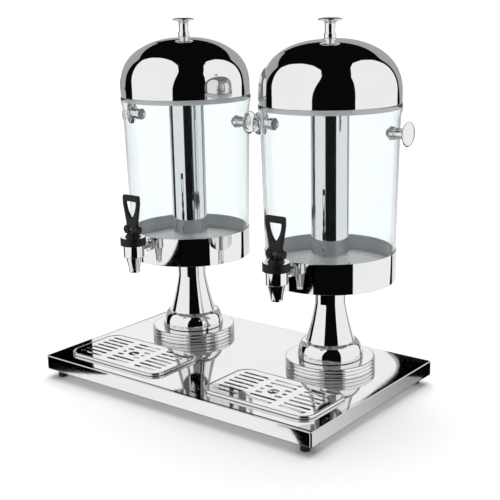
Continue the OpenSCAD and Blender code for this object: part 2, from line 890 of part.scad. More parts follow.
// Flat outline of the handle, seen from the front, with the pivot at the origin
module handle_outline() {
    steps = 7;
    half_w = handle_w / 2;
    foot_w = handle_neck_w / 2;
    neck_w = foot_w - 1;
    bend_z = handle_h - handle_round_r;
    window_w = half_w - handle_side_w;
    window_top = handle_h - handle_bar_h;
    side_points = [for (i = [0:steps - 1]) let (u = i / steps)
        [window_w * (1 - window_curve * u * u), window_top - (window_top - window_point_z) * u]];
    difference() {
        union() {
            polygon([[-foot_w, 0], [foot_w, 0], [neck_w, handle_neck_h],
                [half_w, handle_h - handle_shoulder_h], [half_w, bend_z], [-half_w, bend_z],
                [-half_w, handle_h - handle_shoulder_h], [-neck_w, handle_neck_h]]);
            for (x = [-1, 1])
                translate([x * (half_w - handle_round_r), bend_z])
                    circle(handle_round_r);
            translate([-half_w + handle_round_r, bend_z])
                square([2 * (half_w - handle_round_r), handle_round_r]);
        }
        polygon(concat(
            [for (p = side_points) [-p[0], p[1]]],
            [[0, window_point_z - 1]],
            flip(side_points)));
    }
}

// Lever handle with two round ears that straddle the stem's eye
module tap_handle() {
    slot_w = eye_w + 2 * fork_gap;
    ear_w = (ear_span - slot_w) / 2;
    bevel = 1.2;
    heel_w = ear_w - 2 * bevel;
    heel_front = 3;
    clear_z = eye_r + 0.6;
    color("black")
    translate([0, -tap_reach, pivot_z])
        difference() {
            union() {
                translate([0, handle_t / 2, 0])
                    rotate([90, 0, 0])
                        linear_extrude(handle_t)
                            handle_outline();
                for (x = [-1, 1])
                    translate([x * ear_span / 2, 0, 0])
                        rotate([0, -90 * x, 0]) {
                            spin([[0, 0], [ear_r - bevel, 0], [ear_r, bevel], [ear_r, ear_w - bevel],
                                [ear_r - bevel, ear_w], [0, ear_w]]);
                            // Heel that bears on the bonnet's boss when the lever is pulled
                            translate([0, 0, bevel])
                                linear_extrude(heel_w)
                                    polygon([[0, -heel_front], [-x * heel_z, -heel_front],
                                        [-x * heel_z, -heel_y], [0, -heel_y]]);
                        }
            }
            translate([-slot_w / 2, -ear_r - cut, -heel_z - cut])
                cube([slot_w, 2 * (ear_r + cut), heel_z + cut + clear_z]);
            translate([-ear_span, 0, 0])
                rotate([0, 90, 0])
                    cylinder(r = pin_r + shaft_gap, h = 2 * ear_span);
        }
}

// Closed loop of round bar along a rounded rectangle
module bead_loop(w, d, r, bar_r) {
    for (y = [-1, 1])
        translate([-w / 2 + r, y * d / 2, 0])
            rotate([0, 90, 0])
                cylinder(r = bar_r, h = w - 2 * r, $fn = 32);
    for (x = [-1, 1])
        translate([x * w / 2, d / 2 - r, 0])
            rotate([90, 0, 0])
                cylinder(r = bar_r, h = d - 2 * r, $fn = 32);
    for (q = [0:3]) {
        x = (q == 0 || q == 3) ? 1 : -1;
        y = q < 2 ? 1 : -1;
        translate([x * (w / 2 - r), y * (d / 2 - r), 0])
            rotate([0, 0, 90 * q])
                rotate_extrude(angle = 90)
                    translate([r, 0])
                        circle(bar_r, $fn = 32);
    }
}

// Drawn tray that drops into the base plate and hangs on its beaded rim
module drip_tray() {
    color("gainsboro") {
        difference() {
            translate([0, 0, -tray_depth])
                round_plate(tub_w, tub_d, tub_r, tray_depth + bead_z);
            translate([0, 0, -tray_depth + tray_sheet])
                round_plate(tub_w - 2 * tray_sheet, tub_d - 2 * tray_sheet,
                    tub_r - tray_sheet, tray_depth + bead_z);
        }
        difference() {
            translate([0, 0, bead_z])
                bead_loop(bead_line_w, bead_line_d, bead_line_r, tray_bead_r);
            translate([0, 0, -tray_depth + tray_sheet])
                round_plate(tub_w - 2 * tray_sheet, tub_d - 2 * tray_sheet,
                    tub_r - tray_sheet, tray_depth + bead_z + bead_d);
        }
    }
}

// A slot with round ends along X, centred
module slot(l) {
    translate([-l / 2 + slot_w / 2, -slot_w / 2, 0])
        cube([l - slot_w, slot_w, grate_t + 2 * cut]);
    for (x = [-1, 1])
        translate([x * (l / 2 - slot_w / 2), 0, 0])
            cylinder(d = slot_w, h = grate_t + 2 * cut, $fn = 32);
}

// Slots of a grate: three columns, with the middle one broken round the drain hole
module grate_slots() {
    half = (slot_rows - 1) / 2;
    beside_drain_l = 8;
    near_drain_l = 13;
    for (row = [-half:half])
        translate([0, row * slot_pitch, 0]) {
            for (x = [-1, 1])
                translate([x * side_slot_x, 0, 0])
                    slot(side_slot_l);
            short = row == 0 ? beside_drain_l : near_drain_l;
            if (abs(row) > 1)
                slot(middle_slot_l);
            else
                for (x = [-1, 1])
                    translate([x * (middle_slot_l - short) / 2, 0, 0])
                        slot(short);
        }
    cylinder(d = drain_d, h = grate_t + 2 * cut);
}

// Slotted grate with a folded skirt and four legs on the tray's floor
module drip_grate() {
    leg_h = grate_z - grate_t + tray_depth - tray_sheet;
    skirt_z = grate_z - grate_skirt_h;
    skirt_y = (grate_d - grate_t) / 2;
    color("gainsboro")
    difference() {
        union() {
            difference() {
                translate([0, 0, skirt_z])
                    round_plate(grate_w, grate_d, grate_r, grate_skirt_h);
                translate([0, 0, skirt_z - cut])
                    round_plate(grate_w - 2 * grate_t, grate_d - 2 * grate_t,
                        grate_r - grate_t, grate_skirt_h - grate_t + cut);
            }
            for (x = [-1, 1], y = [-1, 1])
                translate([x * grate_w / 4 - leg_w / 2, y * skirt_y - grate_t / 2,
                        grate_z - grate_t - leg_h])
                    cube([leg_w, grate_t, leg_h]);
        }
        translate([0, 0, grate_z - grate_t - cut])
            grate_slots();
    }
}

base_plate();
base_feet();
foot_screws();
tie_rods();
tie_rod_nuts();
tie_rod_cap_nuts();
side_knob_screws();
side_knob_washers();
tap_lock_nuts();
tap_washers();
at_unit(left) stand_rings();  // left_stand_rings
at_unit(left) column_base();  // left_column_base
at_unit(left) column();  // left_column
at_unit(left) pan();  // left_pan
at_unit(left) pan_gasket();  // left_pan_gasket
at_unit(left) vessel();  // left_vessel
at_unit(left) side_knobs();  // left_side_knobs
at_unit(left) ice_tube();  // left_ice_tube
at_unit(left) ice_tube_plug();  // left_ice_tube_plug
at_unit(left) ice_tube_seal();  // left_ice_tube_seal
at_unit(left) lid();  // left_lid
at_unit(left) lid_collar();  // left_lid_collar
at_unit(left) lid_knob();  // left_lid_knob
at_unit(left) lid_screw();  // left_lid_screw
at_unit(left) tap_body();  // left_tap_body
at_unit(left) tap_bonnet();  // left_tap_bonnet
at_unit(left) tap_stem();  // left_tap_stem
at_unit(left) tap_seat_cup();  // left_tap_seat_cup
at_unit(left) tap_spring();  // left_tap_spring
at_unit(left) tap_pin();  // left_tap_pin
at_unit(left) tap_handle();  // left_tap_handle
at_tray(left) drip_tray();  // left_drip_tray
at_tray(left) drip_grate();  // left_drip_grate
at_unit(right) stand_rings();  // right_stand_rings
at_unit(right) column_base();  // right_column_base
at_unit(right) column();  // right_column
at_unit(right) pan();  // right_pan
at_unit(right) pan_gasket();  // right_pan_gasket
at_unit(right) vessel();  // right_vessel
at_unit(right) side_knobs();  // right_side_knobs
at_unit(right) ice_tube();  // right_ice_tube
at_unit(right) ice_tube_plug();  // right_ice_tube_plug
at_unit(right) ice_tube_seal();  // right_ice_tube_seal
at_unit(right) lid();  // right_lid
at_unit(right) lid_collar();  // right_lid_collar
at_unit(right) lid_knob();  // right_lid_knob
at_unit(right) lid_screw();  // right_lid_screw
at_unit(right) tap_body();  // right_tap_body
at_unit(right) tap_bonnet();  // right_tap_bonnet
at_unit(right) tap_stem();  // right_tap_stem
at_unit(right) tap_seat_cup();  // right_tap_seat_cup
at_unit(right) tap_spring();  // right_tap_spring
at_unit(right) tap_pin();  // right_tap_pin
at_unit(right) tap_handle();  // right_tap_handle
at_tray(right) drip_tray();  // right_drip_tray
at_tray(right) drip_grate();  // right_drip_grate
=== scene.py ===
"""Double juice dispenser: finer surfaces, finishes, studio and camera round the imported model.

Sizes in the classes are millimetres, as on a drawing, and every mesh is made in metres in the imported
model's frame: X to the right, Y to the back, Z up from the standing plane.
"""

import logging
import math
from dataclasses import dataclass
from enum import Enum

import bmesh
import bpy
import numpy as np
from mathutils import Matrix, Vector


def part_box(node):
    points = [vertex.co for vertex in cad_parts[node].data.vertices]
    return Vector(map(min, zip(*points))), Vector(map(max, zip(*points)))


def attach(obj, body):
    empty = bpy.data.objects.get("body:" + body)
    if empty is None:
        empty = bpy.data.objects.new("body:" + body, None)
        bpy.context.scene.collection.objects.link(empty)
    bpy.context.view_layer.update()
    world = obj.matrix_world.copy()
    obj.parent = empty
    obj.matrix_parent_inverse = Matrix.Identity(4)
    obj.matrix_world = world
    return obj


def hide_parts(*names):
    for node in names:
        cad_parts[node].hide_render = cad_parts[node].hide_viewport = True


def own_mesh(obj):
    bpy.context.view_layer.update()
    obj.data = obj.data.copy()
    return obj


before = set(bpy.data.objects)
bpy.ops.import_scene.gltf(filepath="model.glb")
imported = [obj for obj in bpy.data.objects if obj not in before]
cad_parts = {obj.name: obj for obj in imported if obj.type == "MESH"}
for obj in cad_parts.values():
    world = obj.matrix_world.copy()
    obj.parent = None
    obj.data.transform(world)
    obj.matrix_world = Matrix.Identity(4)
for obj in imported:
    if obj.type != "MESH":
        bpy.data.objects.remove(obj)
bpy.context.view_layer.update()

LOG = logging.getLogger("dispenser")
MM = 0.001
IMAGE_SIZE = 500
ON_AXIS = 0.05           # radius in mm at which an outline ends on its axis
ARC_SHARE = 0.48         # most of an edge that a round corner takes up
SHANK_DROP = 16.5        # height in mm from a tap's shank to the top of its body
REST_SHARE = 0.2         # most of an edge between an arc and its resting point
TINY = 1e-9              # keeps a division from a zero


class Side(Enum):
    """The two units, by the sign of their X."""

    LEFT = -1
    RIGHT = 1

    @property
    def tag(self) -> str:
        """Start of this unit's names."""
        return self.name.lower()


class Slot(Enum):
    """Material slots of the record."""

    POLISHED = "polished_steel"
    PLAIN = "plain_steel"
    SPRING = "spring_steel"
    CHROMED = "chromed_brass"
    CLEAR = "clear_plastic"
    BLACK = "black_plastic"
    RUBBER = "black_rubber"
    SILICONE = "silicone"


class NodeSheet:
    """A material's node tree, with short calls for the nodes that the finishes share."""

    NOISE_LOW = 0.35
    NOISE_HIGH = 0.65

    def __init__(self, name: str) -> None:
        """Starts an empty material with its shader and its coordinates.

        Args:
            name: the material's name.
        """
        self.material = bpy.data.materials.new(name)
        self.material.use_nodes = True
        self.tree = self.material.node_tree
        self.tree.nodes.clear()
        self.output = self.tree.nodes.new("ShaderNodeOutputMaterial")
        self.shader = self.tree.nodes.new("ShaderNodeBsdfPrincipled")
        self.tree.links.new(self.shader.outputs[0], self.output.inputs["Surface"])
        self.where = self.tree.nodes.new("ShaderNodeTexCoord")

    def add(self, kind: str, values: dict | None = None, **settings: object) -> bpy.types.Node:
        """Adds a node.

        Args:
            kind: the node's type name.
            values: input name or index to a plain value or to a socket that feeds it.
            **settings: the node's own attributes.

        Returns:
            The node.
        """
        node = self.tree.nodes.new(kind)
        for key, value in settings.items():
            setattr(node, key, value)
        for key, value in (values or {}).items():
            if isinstance(value, bpy.types.NodeSocket):
                self.tree.links.new(value, node.inputs[key])
            else:
                node.inputs[key].default_value = value
        return node

    def noise(self, scale: float, stretch: tuple[float, float, float] = (1, 1, 1),
              detail: float = 3.0, source: str = "Object") -> bpy.types.NodeSocket:
        """A noise value over the piece.

        Args:
            scale: lumps per metre.
            stretch: factor on each coordinate, below 1 where the lumps run long.
            detail: octaves of finer noise.
            source: output of the coordinate node that the noise reads.

        Returns:
            The noise's value socket.
        """
        mapped = self.add("ShaderNodeMapping", {"Vector": self.where.outputs[source], "Scale": stretch})
        return self.add("ShaderNodeTexNoise", {"Vector": mapped.outputs[0], "Scale": scale,
                                               "Detail": detail}).outputs[0]

    def span(self, value: bpy.types.NodeSocket, low: float, high: float) -> bpy.types.NodeSocket:
        """Maps the middle of a noise onto a range of values.

        Args:
            value: the noise.
            low: result at NOISE_LOW and under it.
            high: result at NOISE_HIGH and over it.

        Returns:
            The mapped value's socket.
        """
        return self.add("ShaderNodeMapRange", {"Value": value, "From Min": self.NOISE_LOW,
                                               "From Max": self.NOISE_HIGH, "To Min": low,
                                               "To Max": high}).outputs[0]

    def blend(self, value: bpy.types.NodeSocket, dark: tuple, light: tuple) -> bpy.types.NodeSocket:
        """A colour between two, by a value.

        Args:
            value: 0 for the dark colour and 1 for the light one.
            dark: red, green and blue of one end.
            light: red, green and blue of the other end.

        Returns:
            The colour's socket.
        """
        factor, first, second, result = 0, 6, 7, 2
        mix = self.add("ShaderNodeMix", {factor: value, first: (*dark, 1), second: (*light, 1)},
                       data_type="RGBA")
        return mix.outputs[result]

    def bump(self, height: bpy.types.NodeSocket, strength: float, depth_mm: float) -> None:
        """Feeds the shader's normal from a height.

        Args:
            height: the height's socket, 0 to 1.
            strength: share of the bump that shows.
            depth_mm: real depth of a height of 1.
        """
        node = self.add("ShaderNodeBump", {"Height": height, "Strength": strength,
                                           "Distance": depth_mm * MM})
        self.tree.links.new(node.outputs[0], self.shader.inputs["Normal"])

    def mirror_split(self, plain: bpy.types.NodeSocket, mirrored: bpy.types.NodeSocket) -> None:
        """Shows one shader to rays that nothing has mirrored yet and another to the rest, unsampled."""
        seen = self.add("ShaderNodeLightPath")
        again = self.add("ShaderNodeMath", {0: seen.outputs["Glossy Depth"], 1: 0.5},
                         operation="GREATER_THAN")
        mix = self.add("ShaderNodeMixShader", {0: again.outputs[0], 1: plain, 2: mirrored})
        self.tree.links.new(mix.outputs[0], self.output.inputs["Surface"])
        self.material.cycles.emission_sampling = "NONE"

    def wear(self, socket: str, value: bpy.types.NodeSocket) -> None:
        """Feeds one of the shader's inputs from a value's socket."""
        self.tree.links.new(value, self.shader.inputs[socket])

    def fix(self, **values: float | tuple) -> None:
        """Sets plain values on the shader; an underscore in a name stands for a space."""
        for key, value in values.items():
            self.shader.inputs[key.replace("_", " ")].default_value = value


@dataclass(frozen=True)
class Metal:
    """Steel or chrome: reflecting metal with polishing lines, smears and a slight waviness."""

    name: str
    dark: tuple[float, float, float]
    light: tuple[float, float, float]
    rough: tuple[float, float]
    line_scale: float = 900.0
    line_stretch: tuple[float, float, float] = (0.03, 1.0, 1.0)
    line_source: str = "UV"
    line_strength: float = 0.05
    line_depth_mm: float = 0.01
    metallic: float = 1.0
    smear_scale: float = 14.0
    octaves: float = 4.0

    def build(self) -> bpy.types.Material:
        """Makes the material."""
        sheet = NodeSheet(self.name)
        smear = sheet.noise(self.smear_scale, detail=self.octaves)
        lines = sheet.noise(self.line_scale, self.line_stretch, self.octaves, self.line_source)
        sheet.wear("Base Color", sheet.blend(smear, self.dark, self.light))
        mixed = sheet.add("ShaderNodeMath", {0: smear, 1: lines}, operation="ADD")
        half = sheet.add("ShaderNodeMath", {0: mixed.outputs[0], 1: 0.5}, operation="MULTIPLY")
        sheet.wear("Roughness", sheet.span(half.outputs[0], *self.rough))
        sheet.bump(lines, self.line_strength, self.line_depth_mm)
        sheet.fix(Metallic=self.metallic)
        return sheet.material


@dataclass(frozen=True)
class Moulding:
    """Opaque moulded plastic, rubber or silicone with a fine grain."""

    name: str
    dark: tuple[float, float, float]
    light: tuple[float, float, float]
    rough: tuple[float, float]
    grain_scale: float = 1500.0
    grain_strength: float = 0.25
    grain_depth_mm: float = 0.04
    gloss: float = 0.5
    cloud_scale: float = 60.0

    def build(self) -> bpy.types.Material:
        """Makes the material."""
        sheet = NodeSheet(self.name)
        cloud = sheet.noise(self.cloud_scale, detail=5.0)
        grain = sheet.noise(self.grain_scale, detail=2.0)
        sheet.wear("Base Color", sheet.blend(cloud, self.dark, self.light))
        sheet.wear("Roughness", sheet.span(cloud, *self.rough))
        sheet.bump(grain, self.grain_strength, self.grain_depth_mm)
        sheet.fix(Specular_IOR_Level=self.gloss)
        return sheet.material


@dataclass(frozen=True)
class ClearMoulding:
    """Clear moulded plastic, with a breath of tint and the faint waves of its mould."""

    name: str
    tint: tuple[float, float, float]
    rough: tuple[float, float]
    ior: float = 1.49
    wave_strength: float = 0.02
    wave_depth_mm: float = 0.05
    haze_scale: float = 30.0
    wave_scale: float = 22.0
    wave_stretch: tuple[float, float, float] = (1.0, 1.0, 0.35)

    def build(self) -> bpy.types.Material:
        """Makes the material."""
        sheet = NodeSheet(self.name)
        haze = sheet.noise(self.haze_scale, detail=4.0)
        wave = sheet.noise(self.wave_scale, self.wave_stretch, 1.0)
        paler = tuple((1 + share) / 2 for share in self.tint)
        sheet.wear("Base Color", sheet.blend(haze, self.tint, paler))
        sheet.wear("Roughness", sheet.span(haze, *self.rough))
        sheet.bump(wave, self.wave_strength, self.wave_depth_mm)
        sheet.fix(Transmission_Weight=1.0, IOR=self.ior)
        return sheet.material


class Palette:
    """Every finish of the dispenser, each built once."""

    STEEL_DARK = (0.80, 0.80, 0.805)
    STEEL_LIGHT = (0.86, 0.86, 0.86)

    def __init__(self) -> None:
        """Builds the materials."""
        dark, light = self.STEEL_DARK, self.STEEL_LIGHT
        self.mirror = Metal("mirror_polished_steel", dark, light, (0.015, 0.05)).build()
        self.plate = Metal("mirror_polished_plate", dark, light, (0.02, 0.06), 700.0,
                           (0.04, 1.0, 1.0), "Object", 0.04).build()
        self.brushed = Metal("brushed_steel", (0.92, 0.92, 0.92), (0.97, 0.97, 0.97), (0.20, 0.32),
                             1400.0, (0.02, 1.0, 1.0), "UV", 0.5, 0.02, 0.1).build()
        self.plain = Metal("plain_steel", (0.60, 0.60, 0.60), (0.72, 0.71, 0.70), (0.18, 0.32),
                           600.0, (0.2, 0.2, 1.0), "Object", 0.3, 0.02).build()
        self.spring = Metal("spring_steel", (0.42, 0.42, 0.43), (0.56, 0.56, 0.56), (0.22, 0.38),
                            900.0, (1.0, 1.0, 0.3), "Object", 0.3, 0.02).build()
        self.blackened = Metal("blackened_steel", (0.05, 0.05, 0.05), (0.09, 0.09, 0.09), (0.25, 0.40),
                               600.0, (0.2, 0.2, 1.0), "Object", 0.3, 0.02).build()
        self.chrome = Metal("chrome_plate", (0.80, 0.81, 0.82), (0.87, 0.87, 0.88), (0.02, 0.05),
                            500.0, (0.3, 0.3, 1.0), "Object", 0.04).build()
        self.black = Moulding("satin_black_plastic", (0.007, 0.007, 0.008), (0.014, 0.014, 0.015),
                              (0.30, 0.42), gloss=0.25).build()
        self.rubber = Moulding("black_rubber", (0.012, 0.012, 0.012), (0.028, 0.028, 0.028),
                               (0.60, 0.80), 900.0, 0.4, 0.08).build()
        self.silicone = Moulding("milky_silicone", (0.70, 0.70, 0.69), (0.80, 0.80, 0.79),
                                 (0.45, 0.60), 1200.0, 0.15).build()
        self.clear = ClearMoulding("clear_moulded_plastic", (0.885, 0.925, 0.935), (0.0, 0.02),
                                   1.2).build()


@dataclass
class Skin:
    """Arrays of one closed surface: points, faces, a flat map and a finish number for each face."""

    points: np.ndarray
    faces: list[list[int]]
    chart: np.ndarray
    finish: np.ndarray


def grid_skin(points: np.ndarray, wrap_rows: bool = False, row_finish: np.ndarray | None = None) -> Skin:
    """Closed surface over a grid of points whose columns run round and close on themselves.

    Face (i, j) joins the points (i, j), (i+1, j), (i+1, j+1) and (i, j+1). Rows close on themselves too
    where the outline is a closed one; otherwise one flat face fills the first row and one the last.
    The volume is a sixth of the sum of triple products over the faces' triangles, and where it is
    negative every face is turned round. The chart holds the way along the columns and along the rows,
    in metres.

    Args:
        points: rows x columns x 3, in metres.
        wrap_rows: whether the last row joins the first.
        row_finish: finish number of each band of faces.

    Returns:
        The surface.
    """
    rows, cols = points.shape[:2]
    bands = rows if wrap_rows else rows - 1
    i, j = np.meshgrid(np.arange(bands), np.arange(cols), indexing="ij")
    di, dj = np.array([0, 1, 1, 0]), np.array([0, 0, 1, 1])
    ii, jj = i[..., None] + di, j[..., None] + dj
    quads = ((ii % rows) * cols + jj % cols).reshape(-1, 4)
    flat = points.reshape(-1, 3)
    row_way = np.linalg.norm(np.diff(points, axis=0, append=points[:1]), axis=2).mean(1)
    row_at = np.concatenate([[0.0], np.cumsum(row_way)])
    col_way = np.linalg.norm(np.roll(points, -1, 1) - points, axis=2).max(0)
    col_at = np.concatenate([[0.0], np.cumsum(col_way)])
    chart = np.stack([col_at[jj], row_at[ii]], axis=-1).reshape(-1, 4, 2)
    a, b, c, d = (flat[quads[:, k]] - flat.mean(0) for k in range(4))
    volume = np.einsum("ij,ij->", a, np.cross(b, c)) + np.einsum("ij,ij->", a, np.cross(c, d))
    caps = [] if wrap_rows else [list(range(cols)), list(range((rows - 1) * cols, rows * cols))[::-1]]
    if volume < 0:
        quads, chart = quads[:, ::-1], chart[:, ::-1]
        caps = [cap[::-1] for cap in caps]
    cap_chart = [flat[cap][:, :2] for cap in caps]
    finish = np.zeros(bands, int) if row_finish is None else row_finish[:bands]
    return Skin(flat, quads.tolist() + caps, np.concatenate([chart.reshape(-1, 2), *cap_chart]),
                np.concatenate([np.repeat(finish, cols), np.zeros(len(caps), int)]))


def joined(skins: list[Skin]) -> tuple[np.ndarray, list[list[int]]]:
    """Points and faces of several surfaces as one mesh, each face's numbers shifted to its points."""
    starts = np.cumsum([0] + [len(skin.points) for skin in skins]).tolist()
    faces = [[v + start for v in face] for skin, start in zip(skins, starts) for face in skin.faces]
    return np.concatenate([skin.points for skin in skins]), faces


def rounded_outline(corners: list[tuple[float, float]], radii: list[float] | float, closed: bool = True,
                    steps: int = 5, rest: float = 0.3) -> np.ndarray:
    """Outline with a round arc at every corner, and a point just before and after each arc.

    An arc of radius r touches both edges at r tan(turn / 2) from the corner. Its points are the two
    radius vectors at its ends, blended by the sines of their shares of the angle between them. The
    points at a small rest from the arcs keep the flats flat under smooth shading.

    Args:
        corners: corner points in order.
        radii: radius at each corner, or one for all.
        closed: whether the last corner joins the first; otherwise the two ends stay as they are.
        steps: straight pieces in each arc.
        rest: way from an arc to its resting points, at most a fifth of the edge.

    Returns:
        The outline's points, n x 2.
    """
    p = np.array(corners, float)
    r = np.broadcast_to(np.array(radii, float), (len(p),)).copy()
    back, on = np.roll(p, 1, 0) - p, np.roll(p, -1, 0) - p
    back_l, on_l = np.linalg.norm(back, axis=1), np.linalg.norm(on, axis=1)
    a, b = back / back_l[:, None], on / on_l[:, None]
    inner = np.arccos(np.clip((a * b).sum(1), -1, 1))
    r = np.minimum(r, ARC_SHARE * np.minimum(back_l, on_l) * np.tan(inner / 2))
    touch = r / np.tan(inner / 2)
    middle = a + b
    middle /= np.maximum(np.linalg.norm(middle, axis=1), TINY)[:, None]
    centre = p + middle * (r / np.sin(inner / 2))[:, None]
    start, end = p + a * touch[:, None] - centre, p + b * touch[:, None] - centre
    turn = np.maximum(np.pi - inner, 1e-6)[:, None, None]
    u = np.linspace(0, 1, steps + 1)[None, :, None]
    arc = centre[:, None] + (np.sin((1 - u) * turn) * start[:, None] + np.sin(u * turn) * end[:, None]
                             ) / np.sin(turn)
    before = arc[:, :1] + (a * np.minimum(rest, REST_SHARE * back_l)[:, None])[:, None]
    after = arc[:, -1:] + (b * np.minimum(rest, REST_SHARE * on_l)[:, None])[:, None]
    rows = np.concatenate([before, arc, after], axis=1)
    if closed:
        return rows.reshape(-1, 2)
    return np.concatenate([p[:1], rows[1:-1].reshape(-1, 2), p[-1:]])


def oval(centre: tuple[float, float], rx: float, ry: float, start: float, end: float,
         steps: int = 16) -> np.ndarray:
    """Points of an ellipse: centre plus (rx cos a, ry sin a), for a from start to end in degrees."""
    a = np.radians(np.linspace(start, end, steps + 1))
    return np.stack([centre[0] + rx * np.cos(a), centre[1] + ry * np.sin(a)], axis=1)


@dataclass(frozen=True)
class Axis:
    """A turning axis: where it starts and the way it points, in millimetres."""

    origin: tuple[float, float, float]
    along: tuple[float, float, float] = (0, 0, 1)

    def turned(self, radius: np.ndarray, high: np.ndarray, columns: int, start: float,
               closed: bool = True, row_finish: np.ndarray | None = None) -> Skin:
        """Surface round the axis.

        Point (i, j) is origin + along high + (e cos a + f sin a) radius, with e and f square to the
        axis and a going once round in equal steps.

        Args:
            radius: rows x columns, or rows x 1 where it is the same all round, in millimetres.
            high: each row's height along the axis.
            columns: steps round the axis.
            start: angle of the seam in degrees.
            closed: whether the last row joins the first; otherwise both ends are filled flat.
            row_finish: finish number of each band.

        Returns:
            The surface.
        """
        along = np.array(self.along, float)
        side = np.array([1.0, 0, 0]) if abs(along[2]) > 0.5 else np.array([0, 0, 1.0])
        e = np.cross(along, np.cross(side, along))
        f = np.cross(along, e)
        a = np.radians(start) + 2 * np.pi * np.arange(columns) / columns
        ring = np.cos(a)[:, None] * e + np.sin(a)[:, None] * f
        points = np.array(self.origin) + high[:, None, None] * along + radius[..., None] * ring
        return grid_skin(points * MM, closed, row_finish)

    def lathe(self, outline: np.ndarray, closed: bool = True, columns: int = 128,
              row_finish: np.ndarray | None = None) -> Skin:
        """Turns an outline of (radius, height) round the axis, with its seam at the back.

        Args:
            outline: n x 2 of radius and height in millimetres.
            closed: whether the outline closes on itself; otherwise its ends are filled flat.
            columns: steps round the axis.
            row_finish: finish number of each band.

        Returns:
            The surface.
        """
        return self.turned(outline[:, :1], outline[:, 1], columns, 90.0, closed, row_finish)

    def drill(self, radius: float, depth: float, columns: int) -> Skin:
        """A solid rod from the axis's origin, to cut a round hole with."""
        rod = np.array([[2 * ON_AXIS, 0], [radius, 0], [radius, depth], [2 * ON_AXIS, depth]])
        return self.lathe(rod, False, columns)

    def hexagon(self, flats: float, height: float, bore: float) -> Skin:
        """A chamfered hexagon nut with a round bore, standing on the axis's origin.

        The outer radius at angle a is the smaller of the flats' half width over cos(a folded into a
        sixth of a turn) and the chamfer cone's radius at that height.

        Args:
            flats: width across flats.
            height: height of the nut.
            bore: radius of its hole.

        Returns:
            The surface.
        """
        columns, sixth = 96, 60
        folded = (np.arange(columns) * 360 / columns + sixth / 2) % sixth - sixth / 2
        hexagon = flats / 2 / np.cos(np.radians(sixth / 2 - np.abs(folded)))
        chamfer = np.array([0.97, 1.0, 1.06, 1.2])
        level = np.array([0.0, 0.02, 0.08, 0.16])
        cone = flats / 2 * np.concatenate([chamfer, chamfer[::-1]])
        high = height * np.concatenate([level, 1 - level[::-1], [1.0, 0.0]])
        outer = np.minimum(hexagon, cone[:, None])
        return self.turned(np.concatenate([outer, np.full((2, columns), bore)]), high, columns, 0.0)


def round_loop(width: float, depth: float, radius: float,
               steps: int = 14) -> tuple[np.ndarray, np.ndarray]:
    """A rounded rectangle round the origin, and the way out of it at each point.

    Each corner is a quarter circle, with one more point a short rest before it and one after it.

    Args:
        width: size along X.
        depth: size along Y.
        radius: corner radius.
        steps: straight pieces in each corner.

    Returns:
        Points and unit outward vectors, both n x 2.
    """
    quarter = np.radians(np.linspace(0, 90, steps + 1))
    turn = (quarter[None] + np.radians([[0], [90], [180], [270]])).ravel()
    out = np.stack([np.cos(turn), np.sin(turn)], axis=1)
    corner = np.repeat(np.array([[1, 1], [-1, 1], [-1, -1], [1, -1]], float), steps + 1, axis=0)
    points = corner * [width / 2 - radius, depth / 2 - radius] + out * radius
    rest = 0.8
    corners, ways = points.reshape(4, -1, 2), out.reshape(4, -1, 2)
    lead = corners[:, :1] + np.array([[[0, -rest]], [[rest, 0]], [[0, rest]], [[-rest, 0]]])
    tail = corners[:, -1:] + np.array([[[-rest, 0]], [[0, -rest]], [[rest, 0]], [[0, rest]]])
    return (np.concatenate([lead, corners, tail], axis=1).reshape(-1, 2),
            np.concatenate([ways[:, :1], ways, ways[:, -1:]], axis=1).reshape(-1, 2))


def swept_skin(loop: tuple[np.ndarray, np.ndarray], outline: np.ndarray, centre: tuple[float, float],
               closed: bool) -> Skin:
    """Carries an outline of (way out, height) round a closed loop.

    Point (i, j) is the loop's point j plus its outward vector times the outline's way out i, at the
    outline's height i.

    Args:
        loop: points and outward vectors from round_loop, in millimetres.
        outline: n x 2 of way out and height.
        centre: where the loop's middle goes.
        closed: whether the outline closes on itself.

    Returns:
        The surface.
    """
    points, out = loop
    flat = points[None] + outline[:, None, :1] * out[None] + np.array(centre)
    high = np.broadcast_to(outline[:, None, 1:], (*flat.shape[:2], 1))
    return grid_skin(np.concatenate([flat, high], axis=2) * MM, closed)


